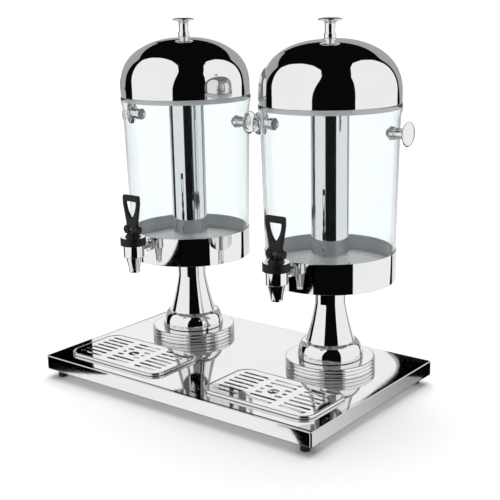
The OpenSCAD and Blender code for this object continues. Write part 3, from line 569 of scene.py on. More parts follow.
class Workshop:
    """Turns surfaces into pieces, dresses them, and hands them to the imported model's bodies."""

    MERGE = 1e-5
    FLAT = 0.5
    TURN = 0.8
    CRISP = 25.0

    def __init__(self, palette: Palette) -> None:
        """Keeps the finishes at hand.

        Args:
            palette: the finishes.
        """
        self.palette = palette
        self.made: list[bpy.types.Object] = []

    def piece(self, name: str, skins: list[Skin], finishes: list[bpy.types.Material], slot: Slot,
              body: str, nodes: list[str], crisp: float = 38.0) -> bpy.types.Object:
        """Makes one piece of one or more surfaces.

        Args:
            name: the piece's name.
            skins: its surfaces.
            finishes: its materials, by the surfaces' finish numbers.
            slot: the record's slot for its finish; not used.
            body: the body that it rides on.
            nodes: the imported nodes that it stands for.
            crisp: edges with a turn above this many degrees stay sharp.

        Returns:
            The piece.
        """
        points, faces = joined(skins)
        mesh = bpy.data.meshes.new(name)
        mesh.from_pydata(points, [], faces)
        chart = mesh.uv_layers.new(name="way")
        chart.data.foreach_set("uv", np.concatenate([s.chart for s in skins]).ravel())
        for finish in finishes:
            mesh.materials.append(finish)
        mesh.polygons.foreach_set("material_index", np.concatenate([s.finish for s in skins]))
        mesh.shade_smooth()
        mesh.set_sharp_from_angle(angle=math.radians(crisp))
        mesh.update()
        return self.hand_over(bpy.data.objects.new(name, mesh), body, nodes)

    def hand_over(self, obj: bpy.types.Object, body: str,
                  nodes: list[str]) -> bpy.types.Object:
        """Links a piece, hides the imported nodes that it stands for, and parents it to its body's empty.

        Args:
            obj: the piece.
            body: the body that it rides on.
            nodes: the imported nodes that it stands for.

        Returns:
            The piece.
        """
        bpy.context.scene.collection.objects.link(obj)
        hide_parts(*nodes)
        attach(obj, body)
        self.made.append(obj)
        LOG.info("%s: %d faces, on %s, for %s", obj.name, len(obj.data.polygons), body, ", ".join(nodes))
        return obj

    def dress(self, node: str, finish: bpy.types.Material) -> None:
        """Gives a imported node's object a finish.

        Args:
            node: the node's name.
            finish: its material.
        """
        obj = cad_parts[node]
        if not obj.material_slots:
            obj.data.materials.append(finish)
        for place in obj.material_slots:
            place.material = finish
        LOG.info("%s: kept as packed, in %s", node, finish.name)

    def drill(self, obj: bpy.types.Object, drills: list[Skin]) -> None:
        """Cuts drills' shapes out of a piece, and keeps the result as its mesh.

        Args:
            obj: the piece.
            drills: surfaces of what is cut away.
        """
        tool = bpy.data.objects.new("drill", bpy.data.meshes.new("drill"))
        points, faces = joined(drills)
        tool.data.from_pydata(points, [], faces)
        bpy.context.scene.collection.objects.link(tool)
        cut = obj.modifiers.new("cut", "BOOLEAN")
        cut.object, cut.operation, cut.solver = tool, "DIFFERENCE", "EXACT"
        bpy.context.view_layer.update()
        cut_mesh = bpy.data.meshes.new_from_object(
            obj.evaluated_get(bpy.context.evaluated_depsgraph_get()))
        obj.modifiers.remove(cut)
        obj.data = cut_mesh
        bpy.data.objects.remove(tool)

    def eased_copy(self, name: str, node: str, top: float, ease: float, finish: bpy.types.Material,
                   slot: Slot, body: str) -> None:
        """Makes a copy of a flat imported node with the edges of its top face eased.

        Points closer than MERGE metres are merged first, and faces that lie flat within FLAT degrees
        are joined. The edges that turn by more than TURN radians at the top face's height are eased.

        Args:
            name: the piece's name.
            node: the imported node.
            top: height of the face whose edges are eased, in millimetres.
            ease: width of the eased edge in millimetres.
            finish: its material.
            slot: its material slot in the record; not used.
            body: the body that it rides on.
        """
        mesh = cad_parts[node].data.copy()
        mesh.name = name
        work = bmesh.new()
        work.from_mesh(mesh)
        bmesh.ops.remove_doubles(work, verts=work.verts, dist=self.MERGE)
        bmesh.ops.dissolve_limit(work, angle_limit=math.radians(self.FLAT), verts=work.verts,
                                 edges=work.edges)
        edges = [e for e in work.edges if all(abs(v.co.z - top * MM) < 2 * self.MERGE for v in e.verts)
                 and len(e.link_faces) == 2 and e.calc_face_angle(0) > self.TURN]
        bmesh.ops.bevel(work, geom=edges, offset=ease * MM, segments=2, profile=0.5, affect="EDGES",
                        clamp_overlap=True)
        work.to_mesh(mesh)
        work.free()
        mesh.materials.clear()
        mesh.materials.append(finish)
        mesh.polygons.foreach_set("material_index", np.zeros(len(mesh.polygons), int))
        mesh.shade_smooth()
        mesh.set_sharp_from_angle(angle=math.radians(self.CRISP))
        self.hand_over(bpy.data.objects.new(name, mesh), body, [node])


def node_box(node: str) -> tuple[np.ndarray, np.ndarray]:
    """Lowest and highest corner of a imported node, in millimetres."""
    low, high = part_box(node)
    return np.array(low) / MM, np.array(high) / MM


@dataclass(frozen=True)
class Unit:
    """One of the two units, for its sub-assemblies: names are given without the unit's own start."""

    shop: Workshop
    side: Side

    @property
    def palette(self) -> Palette:
        """The workshop's finishes."""
        return self.shop.palette

    def named(self, name: str) -> str:
        """A name with the unit's start, but for the base body, which both units share."""
        return name if name == "base" else f"{self.side.tag}_{name}"

    def box(self, node: str) -> tuple[np.ndarray, np.ndarray]:
        """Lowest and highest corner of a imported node, in millimetres."""
        return node_box(self.named(node))

    def axis(self, node: str, z: float = 0.0) -> Axis:
        """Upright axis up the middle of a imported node, from a height."""
        x, y = sum(self.box(node))[:2] / 2
        return Axis((x, y, z))

    def piece(self, name: str, skins: list[Skin], finishes: list[bpy.types.Material], slot: Slot,
              node: str, body: str = "base") -> bpy.types.Object:
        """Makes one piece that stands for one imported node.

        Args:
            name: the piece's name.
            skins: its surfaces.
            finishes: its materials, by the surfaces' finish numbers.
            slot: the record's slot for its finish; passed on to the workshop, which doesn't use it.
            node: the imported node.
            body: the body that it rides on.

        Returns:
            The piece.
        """
        return self.shop.piece(self.named(name), skins, finishes, slot, self.named(body),
                               [self.named(node)])

    def dress(self, finish: bpy.types.Material, *nodes: str) -> None:
        """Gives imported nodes' objects a finish."""
        for node in nodes:
            self.shop.dress(self.named(node), finish)


@dataclass(frozen=True)
class BasePlate:
    """The folded base plate and its rubber feet."""

    sheet: float = 1.2
    corner_r: float = 2.5
    edge_r: float = 1.1
    flange: float = 30.0
    border: float = 6.0
    tray_inset: float = 4.8
    window_r: float = 21.6
    foot_r: float = 7.5
    tread_r: float = 1.5
    foot_bore: float = 4.1
    foot_bore_h: float = 5.0
    screw_hole: float = 2.2
    rest: float = 0.4
    crisp: float = 30.0

    def cover(self, shop: Workshop) -> None:
        """The plate: an edge strip carried round its outline, and a flat sheet with the trays' windows.

        The strip and the windows' edges are open bands, whose flat ends are taken off. The sheet's upper
        and lower face are filled in between their rims.

        Args:
            shop: the workshop.
        """
        low, high = node_box("base_plate")
        z0, z1 = low[2], high[2]
        s = self.sheet
        r, hem = self.edge_r, -self.flange
        fold = rounded_outline([(0, z1), (0, z0), (hem, z0), (hem, z0 + s), (-s, z0 + s), (-s, z1 - s)],
                               [r, r, 0.4, 0.4, 0.3, 0.3], closed=False)[1:-1]
        edge = oval((-r, z1 - r), r, r, 90, 0, 6)
        strip = np.concatenate([[[-self.border, z1], [-r - 1.5 * self.rest, z1]], edge,
                                [[0, z1 - r - self.rest]], fold, [[-s, z1 - s], [-self.border, z1 - s]]])
        outline = round_loop(high[0] - low[0], high[1] - low[1], self.corner_r, 6)
        skins = [swept_skin(outline, strip, (0.0, 0.0), False)]
        faces_down = np.array([[0, z1], [0, z1 - s]])
        for side in Side:
            t_low, t_high = Unit(shop, side).box("drip_tray")
            width, depth = (t_high - t_low)[:2] - self.tray_inset
            window = round_loop(width, depth, self.window_r)
            skins.append(swept_skin(window, faces_down, (t_low + t_high)[:2] / 2, False))
        for skin in skins:
            del skin.faces[-2:]
        mesh = bpy.data.meshes.new("base_cover")
        points, faces = joined(skins)
        mesh.from_pydata(points, [], faces)
        work = bmesh.new()
        work.from_mesh(mesh)
        rims = [edge for edge in work.edges if edge.is_boundary]
        middle = (z1 - s / 2) * MM
        for level in (False, True):
            edges = [edge for edge in rims if (edge.verts[0].co.z > middle) == level]
            bmesh.ops.triangle_fill(work, use_beauty=True, use_dissolve=False, edges=edges)
        bmesh.ops.recalc_face_normals(work, faces=work.faces)
        work.to_mesh(mesh)
        work.free()
        mesh.materials.append(shop.palette.plate)
        mesh.shade_smooth()
        mesh.set_sharp_from_angle(angle=math.radians(self.crisp))
        shop.hand_over(bpy.data.objects.new("base_cover", mesh), "base", ["base_plate"])

    def feet(self, shop: Workshop) -> None:
        """Four turned rubber feet with a rounded tread and a recess for their screws.

        Args:
            shop: the workshop.
        """
        low, high = node_box("base_feet")
        top = high[2]
        outline = rounded_outline(
            [(self.screw_hole, top), (self.screw_hole, self.foot_bore_h),
             (self.foot_bore, self.foot_bore_h), (self.foot_bore, 0), (self.foot_r, 0),
             (self.foot_r, top)],
            [0.1, 0.1, 0.3, 0.5, self.tread_r, 0.4])
        skins = [Axis((x, y, 0)).lathe(outline, columns=64)
                 for x in (low[0] + self.foot_r, high[0] - self.foot_r)
                 for y in (low[1] + self.foot_r, high[1] - self.foot_r)]
        shop.piece("foot_pads", skins, [shop.palette.rubber], Slot.RUBBER, "base", ["base_feet"])

    def build(self, shop: Workshop) -> None:
        """Makes the base's pieces and dresses its fasteners."""
        self.cover(shop)
        self.feet(shop)
        for node in ("foot_screws", "tie_rods", "tie_rod_nuts", "tie_rod_cap_nuts"):
            shop.dress(node, shop.palette.plain)


@dataclass(frozen=True)
class Stand:
    """Turned rings, rounded foot, trumpet column and the pan that carries the vessel."""

    rod_hole: float = 5.3
    ring_count: int = 3
    ring_gap: float = 0.04
    column_base_r: float = 53.5
    column_foot_r: float = 39.75
    column_base_h: float = 28.0
    neck_r: float = 25.2
    neck_h: float = 92.0
    wall: float = 1.2
    foot_inset: float = 2.2
    foot_lip: float = 4.0
    plate: float = 3.0
    rest: float = 0.4
    flare_power: float = 1.25
    pan_sheet: float = 0.8
    pan_floor: float = 20.0
    seat_r: float = 88.0
    seat_h: float = 1.5
    shank_hole: float = 6.5
    drill_from: float = 8.0
    drill_depth: float = 20.0

    def build(self, unit: Unit) -> None:
        """Makes one unit's stand.

        Args:
            unit: which unit.
        """
        mirror = [unit.palette.mirror]
        axis = unit.axis("stand_rings")
        low, high = unit.box("stand_rings")
        ring_r, z0 = (high[0] - low[0]) / 2, low[2]
        ring_h = (high[2] - z0 + self.ring_gap) / self.ring_count
        edge = (ring_h - self.ring_gap) / 2
        rings = []
        for i in range(self.ring_count):
            base = z0 + i * ring_h
            rim = oval((ring_r - edge, base + edge), edge, edge, -90, 90, 14)
            flat, top = ring_r - edge - self.rest, base + 2 * edge
            rings.append(axis.lathe(np.concatenate([
                [[self.rod_hole, base], [flat, base]], rim,
                [[flat, top], [self.rod_hole, top]]]), columns=160))
        unit.piece("turned_rings", rings, mirror, Slot.POLISHED, "stand_rings")

        low, high = unit.box("column_base")
        z0, z1 = low[2], high[2]
        s, r = self.wall, self.column_foot_r
        swell, rise = self.column_base_r - r, self.column_base_h - self.plate
        outer = oval((r, z1 - rise), swell, rise, -4, 90, 28)
        inner = oval((r, z1 - rise), swell - s, rise - s, 90, -4, 28)
        foot, lip = self.column_base_r - self.foot_inset, r - self.foot_lip
        outline = np.concatenate([[[foot, z0]], outer, [[lip, z1], [lip, z1 - s]], inner,
                                  [[foot - s, z0]]])
        unit.piece("rounded_foot", [axis.lathe(outline, columns=160)], mirror, Slot.POLISHED,
                   "column_base")

        low, high = unit.box("column")
        z0, z1 = low[2], high[2]
        u = np.linspace(1, 0, 41)
        neck, hole, under = self.neck_r, self.rod_hole, z1 - self.plate
        flare = np.stack([neck + (r - neck) * u ** self.flare_power,
                          z0 + (self.neck_h - self.column_base_h) * (1 - u)], axis=1)
        outline = np.concatenate([flare, [[neck, z1 - 0.3], [neck, z1], [hole, z1], [hole, under],
                                          [neck - s, under]], (flare - [s, 0])[::-1]])
        unit.piece("trumpet", [axis.lathe(outline, columns=160)], mirror, Slot.POLISHED, "column")
        self.pan(unit, axis)

    def pan(self, unit: Unit, axis: Axis) -> None:
        """The pan: a skirt with a folded hem, a floor with a raised seat, and the shank's hole.

        Args:
            unit: which unit.
            axis: the unit's axis.
        """
        low, high = unit.box("pan")
        z0, z1, r = low[2], high[2], (high[0] - low[0]) / 2
        s, floor = self.pan_sheet, z0 + self.pan_floor
        inner, hole, seat = r - s, self.rod_hole, floor + self.seat_h
        corners = [(hole, floor - s), (inner, floor - s), (inner, z0), (r, z0), (r, z1), (inner, z1),
                   (inner, seat), (self.seat_r + 1, seat), (self.seat_r - 1, floor), (hole, floor)]
        outline = rounded_outline(corners, [0.1, 0.2, 0.3, 0.35, 0.35, 0.3, 0.2, 0.8, 0.8, 0.1], steps=4)
        brushed = (outline[:, 1] > floor - s / 4) & (outline[:, 0] < inner + s / 4)
        skin = axis.lathe(outline, columns=192, row_finish=brushed.astype(int))
        obj = unit.piece("vessel_pan", [skin], [unit.palette.mirror, unit.palette.brushed],
                         Slot.POLISHED, "pan")
        tap_low, tap_high = unit.box("tap_body")
        x, shank = (tap_low[0] + tap_high[0]) / 2, self.shank_z(tap_high[2])
        inside = Axis((x, axis.origin[1] - r + self.drill_from, shank), (0, -1, 0))
        unit.shop.drill(obj, [inside.drill(self.shank_hole, self.drill_depth, 48)])

    @staticmethod
    def shank_z(tap_top: float) -> float:
        """Height of the tap's shank under the top of its body."""
        return tap_top - SHANK_DROP


@dataclass(frozen=True)
class Vessel:
    """Clear vessel with its lifting knobs, and the ice sleeve up its middle."""

    wall: float = 3.0
    foot_r: float = 103.9
    neck_r: float = 108.8
    straight_from: float = 236.0
    flare_h: float = 24.0
    rim_h: float = 8.0
    shank_hole: float = 6.5
    screw_hole: float = 2.7
    sleeve_wall: float = 1.0
    flange_w: float = 3.0
    flange_h: float = 1.3
    drill_from: float = 6.0
    drill_depth: float = 16.0
    edge: float = 0.8

    def side(self, z0: float, z1: float, rim_r: float) -> np.ndarray:
        """Outline of the vessel's outside, from its foot up.

        The wall rises straight and a little outwards, swells by half of 1 - cos over the flare, and
        rises straight again at the rim.

        Args:
            z0: height of the foot.
            z1: height of the rim's top.
            rim_r: outer radius of the rim.

        Returns:
            Points of radius and height.
        """
        flare = z1 - self.flare_h
        u = np.linspace(0, 1, 25)
        swell = np.stack([self.neck_r + (rim_r - self.neck_r) * (1 - np.cos(np.pi * u)) / 2,
                          flare + (self.flare_h - self.rim_h) * u], axis=1)
        rise = np.linspace(self.straight_from, flare, 14)[:-1]
        cone = np.stack([self.foot_r + (self.neck_r - self.foot_r) * (rise - self.straight_from)
                         / (flare - self.straight_from), rise], axis=1)
        return np.concatenate([[[self.foot_r, z0 + self.edge]], cone, swell, [[rim_r, z1 - self.edge]]])

    def build(self, unit: Unit) -> None:
        """Makes one unit's vessel, knobs and ice sleeve.

        Args:
            unit: which unit.
        """
        low, high = unit.box("vessel")
        axis, rim_r = unit.axis("vessel"), (high[0] - low[0]) / 2
        cx, cy, _ = axis.origin
        outside = self.side(low[2], high[2], rim_r)
        half, edge = self.wall / 2, self.edge
        lip = oval((rim_r - half, high[2] - edge), half, edge, 0, 180, 8)[1:-1]
        heel = oval((self.foot_r - half, low[2] + edge), half, edge, 180, 360, 8)[1:-1]
        outline = np.concatenate([outside, lip, (outside - [self.wall, 0])[::-1], heel])
        obj = unit.piece("juice_vessel", [axis.lathe(outline, columns=192)], [unit.palette.clear],
                         Slot.CLEAR, "vessel")
        tap_high = unit.box("tap_body")[1]
        knob_low, knob_high = unit.box("side_knobs")
        knob_z = (knob_low[2] + knob_high[2]) / 2
        inner = self.foot_r - self.wall - self.drill_from
        drills = [Axis((cx, cy - inner, Stand.shank_z(tap_high[2])), (0, -1, 0)).drill(
            self.shank_hole, self.drill_depth, 48)]
        drills += [Axis((cx + way * inner, cy, knob_z), (way, 0, 0)).drill(
            self.screw_hole, self.drill_depth, 32) for way in (-1, 1)]
        unit.shop.drill(obj, drills)
        obj.visible_shadow = False

        reach = (knob_high[0] - knob_low[0]) / 2
        knob = Knob()
        seats = [Axis((cx + way * (reach - knob.height), cy, knob_z), (way, 0, 0)) for way in (-1, 1)]
        skins = [seat.lathe(knob.outline(), False, 96) for seat in seats]
        unit.piece("lifting_knobs", skins, [unit.palette.mirror], Slot.POLISHED, "side_knobs")

        low, high = unit.box("ice_tube")
        flange_r, z0, z1 = (high[0] - low[0]) / 2, low[2], high[2]
        r, fillet = flange_r - self.flange_w, z0 + self.flange_h + 0.9
        outline = rounded_outline(
            [(r - self.sleeve_wall, z0), (flange_r, z0), (flange_r, z0 + self.flange_h), (r, fillet),
             (r, z1), (r - self.sleeve_wall, z1)], [0.2, 0.4, 0.5, 1.0, 0.45, 0.45])
        unit.piece("ice_sleeve", [axis.lathe(outline, columns=128)], [unit.palette.mirror],
                   Slot.POLISHED, "ice_tube", "ice_core")
        unit.dress(unit.palette.plain, "ice_tube_plug")
        unit.dress(unit.palette.silicone, "ice_tube_seal", "pan_gasket")


@dataclass(frozen=True)
class Knob:
    """Mushroom knob: a collar, a waist and a domed disc."""

    height: float = 31.0
    disc_r: float = 18.8
    collar_r: float = 9.7
    collar_h: float = 6.8
    waist_r: float = 8.1
    disc_under: float = 24.6
    step: float = 0.3
    step_h: float = 1.0
    waist_top: float = 17.0
    neck_rx: float = 4.6
    neck_ry: float = 4.9
    neck_drop: float = 5.2
    rim_r: float = 1.0
    rim_z: float = 3.0
    crown_z: float = 3.7

    def outline(self) -> np.ndarray:
        """Outline from the seat on the axis to the top of the disc on the axis.

        Returns:
            Points of radius and height over the seat.
        """
        waist, under, collar = self.waist_r, self.disc_under, self.collar_h
        step, step_z = waist + self.step, collar + self.step_h
        low = rounded_outline(
            [(ON_AXIS, 0), (self.collar_r, 0), (self.collar_r, collar), (step, collar), (step, step_z),
             (waist, step_z), (waist, self.waist_top)],
            [0, 0.5, 0.6, 0.3, 0.3, 0.1, 0], closed=False, steps=4)[:-1]
        neck = oval((waist + self.neck_rx, under - self.neck_drop), self.neck_rx, self.neck_ry,
                    180, 105, 10)
        rim = oval((self.disc_r - self.rim_r, under + self.rim_z), self.rim_r, self.rim_r, -75, 62, 8)
        crown = under + self.crown_z
        top = oval((0, crown), self.disc_r - 0.6, self.height - crown, 8, 90, 24)
        top[-1] = [ON_AXIS, self.height]
        return np.concatenate([low, neck, rim, top])


@dataclass(frozen=True)
class Lid:
    """Domed lid with its hem, inner collar and knob."""

    sheet: float = 0.8
    wall_h: float = 15.6
    power: float = 2.26
    bore: float = 2.7
    collar_sheet: float = 1.0
    collar_top: float = 1.0
    shelf_w: float = 2.0
    hem_h: float = 0.4

    def dome(self, r: float, h: float, z: float, inset: float) -> np.ndarray:
        """Outline of the dome: radius r cos(t)^(2/power), height h sin(t)^(2/power).

        Args:
            r: radius at the foot of the dome.
            h: height of the dome.
            z: height of its foot.
            inset: how far the outline lies inside the outer one.

        Returns:
            Points of radius and height, from the foot to the bore.
        """
        t = np.radians(np.linspace(0, 90, 73))
        radius = (r - inset) * np.cos(t).clip(0) ** (2 / self.power)
        high = z + (h - inset) * np.sin(t) ** (2 / self.power)
        keep = radius > self.bore + 0.5
        return np.concatenate([np.stack([radius[keep], high[keep]], axis=1), [[self.bore, z + h - inset]]])

    def build(self, unit: Unit) -> None:
        """Makes one unit's lid, collar and knob.

        Args:
            unit: which unit.
        """
        low, high = unit.box("lid")
        axis, r = unit.axis("lid"), (high[0] - low[0]) / 2
        foot, top = low[2] + self.wall_h, high[2]
        outer = self.dome(r, top - foot, foot, 0)
        inner = self.dome(r, top - foot, foot, self.sheet)[::-1]
        wall = np.linspace(low[2] + 0.9, foot, 7)[:-1]
        hem = oval((r - self.sheet / 2, low[2] + self.hem_h), self.sheet / 2, self.hem_h, 180, 360, 8)
        outside = np.stack([np.full(len(wall), r), wall], axis=1)
        outline = np.concatenate([hem, outside, outer, inner, (outside - [self.sheet, 0])[::-1]])
        unit.piece("dome", [axis.lathe(outline, columns=256)], [unit.palette.mirror], Slot.POLISHED,
                   "lid", "lid_set")

        low, high = unit.box("lid_collar")
        shelf, base = (high[0] - low[0]) / 2, low[2]
        seat, ring, top = high[2] - self.collar_top, shelf - self.shelf_w, high[2]
        inner = ring - self.collar_sheet
        outline = rounded_outline(
            [(inner, base), (ring, base), (ring, seat), (shelf, seat), (shelf, top), (inner, top)],
            [0.4, 0.4, 0.2, 0.2, 0.2, 0.5], steps=3)
        unit.piece("rim_collar", [axis.lathe(outline, columns=160)], [unit.palette.brushed],
                   Slot.PLAIN, "lid_collar", "lid_set")

        low, high = unit.box("lid_knob")
        unit.piece("dome_knob", [unit.axis("lid", low[2]).lathe(Knob().outline(), False, 96)],
                   [unit.palette.mirror], Slot.POLISHED, "lid_knob", "lid_set")
        unit.dress(unit.palette.plain, "lid_screw")


@dataclass(frozen=True)
class Tap:
    """Lever tap: chromed barrel and shank, black cap ring, and the black lever with its window."""

    barrel_r: float = 17.5
    barrel_h: float = 20.0
    spout_r: float = 9.5
    spout_wall: float = 1.6
    flare_r: float = 14.4
    flare_h: float = 23.0
    flare_power: float = 1.15
    thread_r: float = 14.8
    cavity_r: float = 12.5
    seat_r: float = 5.6
    shank_r: float = 6.3
    shank_bore: float = 4.4
    shank_from: float = 87.0
    boss_r: float = 11.0
    plate_h: float = 3.0
    stem_hole: float = 4.08
    ear_r: float = 6.6
    ear_span: float = 31.0
    ear_gap: float = 8.6
    pin_hole: float = 1.58
    handle_w: float = 35.5
    handle_h: float = 58.0
    handle_t: float = 6.0
    bar_h: float = 10.5
    side_w: float = 5.8
    neck_w: float = 25.0
    neck_h: float = 9.0
    shoulder_h: float = 14.0
    round_r: float = 3.0
    window_point: float = 19.0
    window_curve: float = 0.86
    section_power: float = 0.35
    heel_y: float = 4.6
    heel_z: float = 6.9
    coils: int = 5
    wire_r: float = 0.6
    end_pitch: float = 1.7
    stroke: float = 2.0
    thread_h: float = 9.5
    cavity_floor: float = 3.0
    seat_depth: float = 2.0
    mouth_h: float = 6.0
    lock_gap: float = 0.6
    bonnet_top: float = 5.1
    bonnet_fit: float = 0.05

    def barrel(self, unit: Unit) -> None:
        """Body: barrel with a trumpet spout, bored through, and the shank behind it.

        The spout's radius falls from the flare's to the mouth's by the share of the way up, to a power.

        Args:
            unit: which unit.
        """
        low, high = unit.box("tap_body")
        x = (low[0] + high[0]) / 2
        y = low[1] + self.barrel_r
        z0, z1 = low[2], high[2]
        top = z1 - self.thread_h
        bottom = top - self.barrel_h
        u = np.linspace(0, 1, 15)
        flare = np.stack([self.spout_r + (self.flare_r - self.spout_r) * u ** self.flare_power,
                          bottom - self.flare_h + self.flare_h * u], axis=1)
        spout, bore, lip = self.spout_r, self.spout_r - self.spout_wall, z0 + self.mouth_h
        mouth = rounded_outline([(bore, lip), (bore, z0), (spout, z0), (spout, lip)], [0, 0.4, 0.5, 0],
                                closed=False, steps=4)
        floor, under = bottom + self.cavity_floor, bottom - self.seat_depth
        upper = rounded_outline(
            [(self.flare_r, bottom), (self.barrel_r, bottom), (self.barrel_r, top), (self.thread_r, top),
             (self.thread_r, z1), (self.cavity_r, z1), (self.cavity_r, floor), (self.seat_r, floor),
             (self.seat_r, under), (bore, under), (bore, under - self.mouth_h)],
            [0, 0.8, 0.4, 0.2, 0.3, 0.3, 0.5, 0.3, 0.3, 0.3, 0], closed=False, steps=4)
        axis = Axis((x, y, 0))
        body = axis.lathe(np.concatenate([mouth, flare, upper[1:]]), columns=128)
        cy = unit.axis("vessel").origin[1]
        length = cy - self.shank_from - (y + self.cavity_r + self.lock_gap)
        tube = rounded_outline([(self.shank_bore, 0), (self.shank_r, 0), (self.shank_r, length),
                                (self.shank_bore, length)], [0.2, 0.5, 0.2, 0.2], steps=3)
        shank = Axis((x, cy - self.shank_from, Stand.shank_z(z1)), (0, -1, 0)).lathe(tube, columns=64)
        unit.piece("tap_barrel", [body, shank], [unit.palette.chrome], Slot.CHROMED, "tap_body")

    def cap(self, unit: Unit) -> None:
        """Cap ring with a black boss round the stem; a chrome ring on its black face is a painted
        highlight, standing in for the sheen on the black cap.

        Args:
            unit: which unit.
        """
        low, high = unit.box("tap_bonnet")
        r = (high[0] - low[0]) / 2
        x, y = (low[:2] + high[:2]) / 2
        z0, z1 = low[2], high[2]
        face, bore = z1 - self.bonnet_top, self.thread_r + self.bonnet_fit
        corners = [(bore, z0), (r, z0), (r, face), (self.boss_r + 2, face),
                   (self.boss_r, z1 - 0.8), (self.boss_r - 0.8, z1), (self.stem_hole, z1),
                   (self.stem_hole, face - self.plate_h), (bore, face - self.plate_h)]
        outline = rounded_outline(corners, [0.2, 0.7, 1.2, 0.6, 0.6, 0.4, 0.3, 0.2, 0.3], steps=4)
        way, height = outline.T
        # chrome ring on the face: a painted highlight that stands in for the black cap's sheen
        highlight_ring = (height > face - 0.02) & (way > self.boss_r + 2.6) & (way < r - 1.15)
        unit.piece("tap_cap", [Axis((x, y, 0)).lathe(outline, columns=128, row_finish=highlight_ring.astype(int))],
                   [unit.palette.black, unit.palette.chrome], Slot.BLACK, "tap_bonnet")

    def frame_skin(self, x: float, y: float, pivot: float) -> Skin:
        """The lever's flat frame: a band carried round its window.

        At each step round the window, a rounded section spans from the window's edge to the outer
        edge: way across (1 - cos v) / 2 and thickness sin v, with both waves squared off. The
        window's sides close in by the square of the way down, times the window's curve.

        Args:
            x: middle of the lever.
            y: middle of its thickness.
            pivot: height of its pin.

        Returns:
            The surface.
        """
        half, top, r = self.handle_w / 2, self.handle_h, self.round_r
        neck, foot, shoulder = self.neck_w / 2, self.neck_h, self.handle_h - self.shoulder_h
        win = half - self.side_w
        win_top = top - self.bar_h
        outer = rounded_outline([(-neck, 1.0), (neck, 1.0), (neck - 1, foot), (half, shoulder),
                                 (half, top), (-half, top), (-half, shoulder), (1 - neck, foot)],
                                [0.6, 0.6, 4, 12, r, r, 12, 4], steps=6)
        u = np.linspace(0, 1, 9)[1:-1]
        right = np.stack([win * (1 - u * u * self.window_curve),
                          win_top - (win_top - self.window_point - 1) * u], axis=1)
        inner = rounded_outline([(win, win_top), *right.tolist(), (0, self.window_point),
                                 *(right[::-1] * [-1, 1]).tolist(), (-win, win_top)],
                                [1.6] + [8] * 7 + [2.2] + [8] * 7 + [1.6], steps=4)
        outer, inner = self.matched(outer, inner)
        v = np.linspace(0, 2 * np.pi, 25)[:-1]
        across = (1 - self.squared(np.cos(v))) / 2
        thick = self.squared(np.sin(v)) * self.handle_t / 2
        flat = inner[None] + across[:, None, None] * (outer - inner)[None]
        points = np.stack([x + flat[..., 0], y + np.broadcast_to(thick[:, None], flat.shape[:2]),
                           pivot + flat[..., 1]], axis=2)
        return grid_skin(points * MM, True)

    def squared(self, wave: np.ndarray) -> np.ndarray:
        """A wave between -1 and 1, pushed towards its ends."""
        return np.sign(wave) * np.abs(wave) ** self.section_power

    @staticmethod
    def matched(outer: np.ndarray, inner: np.ndarray, count: int = 160) -> tuple[np.ndarray, np.ndarray]:
        """Points of two loops that face each other, by their angle round the window's middle.

        Each loop is closed, turned into an angle and a distance from the middle, sorted by the angle,
        and read off at equal angles.

        Args:
            outer: the outer loop.
            inner: the window's loop.
            count: points in each result.

        Returns:
            The two loops, count x 2 each.
        """
        middle = np.array([0.0, inner[:, 1].mean() + 4.0])
        grid = np.linspace(-np.pi, np.pi, count, endpoint=False)
        found = []
        for loop in (outer, inner):
            dense = np.concatenate([loop, loop[:1]])
            way = np.concatenate([[0], np.cumsum(np.linalg.norm(np.diff(dense, axis=0), axis=1))])
            fine = np.linspace(0, way[-1], 2400, endpoint=False)
            dense = np.stack([np.interp(fine, way, dense[:, k]) for k in (0, 1)], axis=1) - middle
            angle = np.arctan2(dense[:, 1], dense[:, 0])
            order = np.argsort(angle)
            far = np.interp(grid, angle[order], np.linalg.norm(dense, axis=1)[order], period=2 * np.pi)
            found.append(middle + far[:, None] * np.stack([np.cos(grid), np.sin(grid)], axis=1))
        return found[0], found[1]

    def lever(self, unit: Unit) -> None:
        """Lever: its frame, the two drum ears on the pin, and the heels that bear on the boss.

        Args:
            unit: which unit.
        """
        low, high = unit.box("tap_handle")
        pin_low, pin_high = unit.box("tap_pin")
        x = (low[0] + high[0]) / 2
        y, pivot = (pin_low[1] + pin_high[1]) / 2, (pin_low[2] + pin_high[2]) / 2
        skins = [self.frame_skin(x, y, pivot)]
        width = (self.ear_span - self.ear_gap) / 2
        ear = rounded_outline([(self.pin_hole, 0), (self.ear_r, 0), (self.ear_r, width),
                               (self.pin_hole, width)], [0.2, 1.2, 0.6, 0.2])
        heel_loop = rounded_outline([(-self.heel_y, -self.heel_z), (-3.0, -self.heel_z), (-3.0, -2.0),
                                     (-self.heel_y, -2.0)], [0.5, 0.3, 0.3, 0.3], steps=3)
        for way in (-1, 1):
            drum = Axis((x + way * self.ear_span / 2, y, pivot), (-way, 0, 0))
            skins.append(drum.lathe(ear, columns=96))
            ends = x + way * np.array([self.ear_gap / 2 + 1.2, self.ear_span / 2 - 1.2])
            rows = np.stack([np.stack([np.full(len(heel_loop), end), y + heel_loop[:, 0],
                                       pivot + heel_loop[:, 1]], axis=1) for end in ends])
            skins.append(grid_skin(rows * MM))
        unit.piece("lever_grip", skins, [unit.palette.black], Slot.BLACK, "tap_handle", "lever")

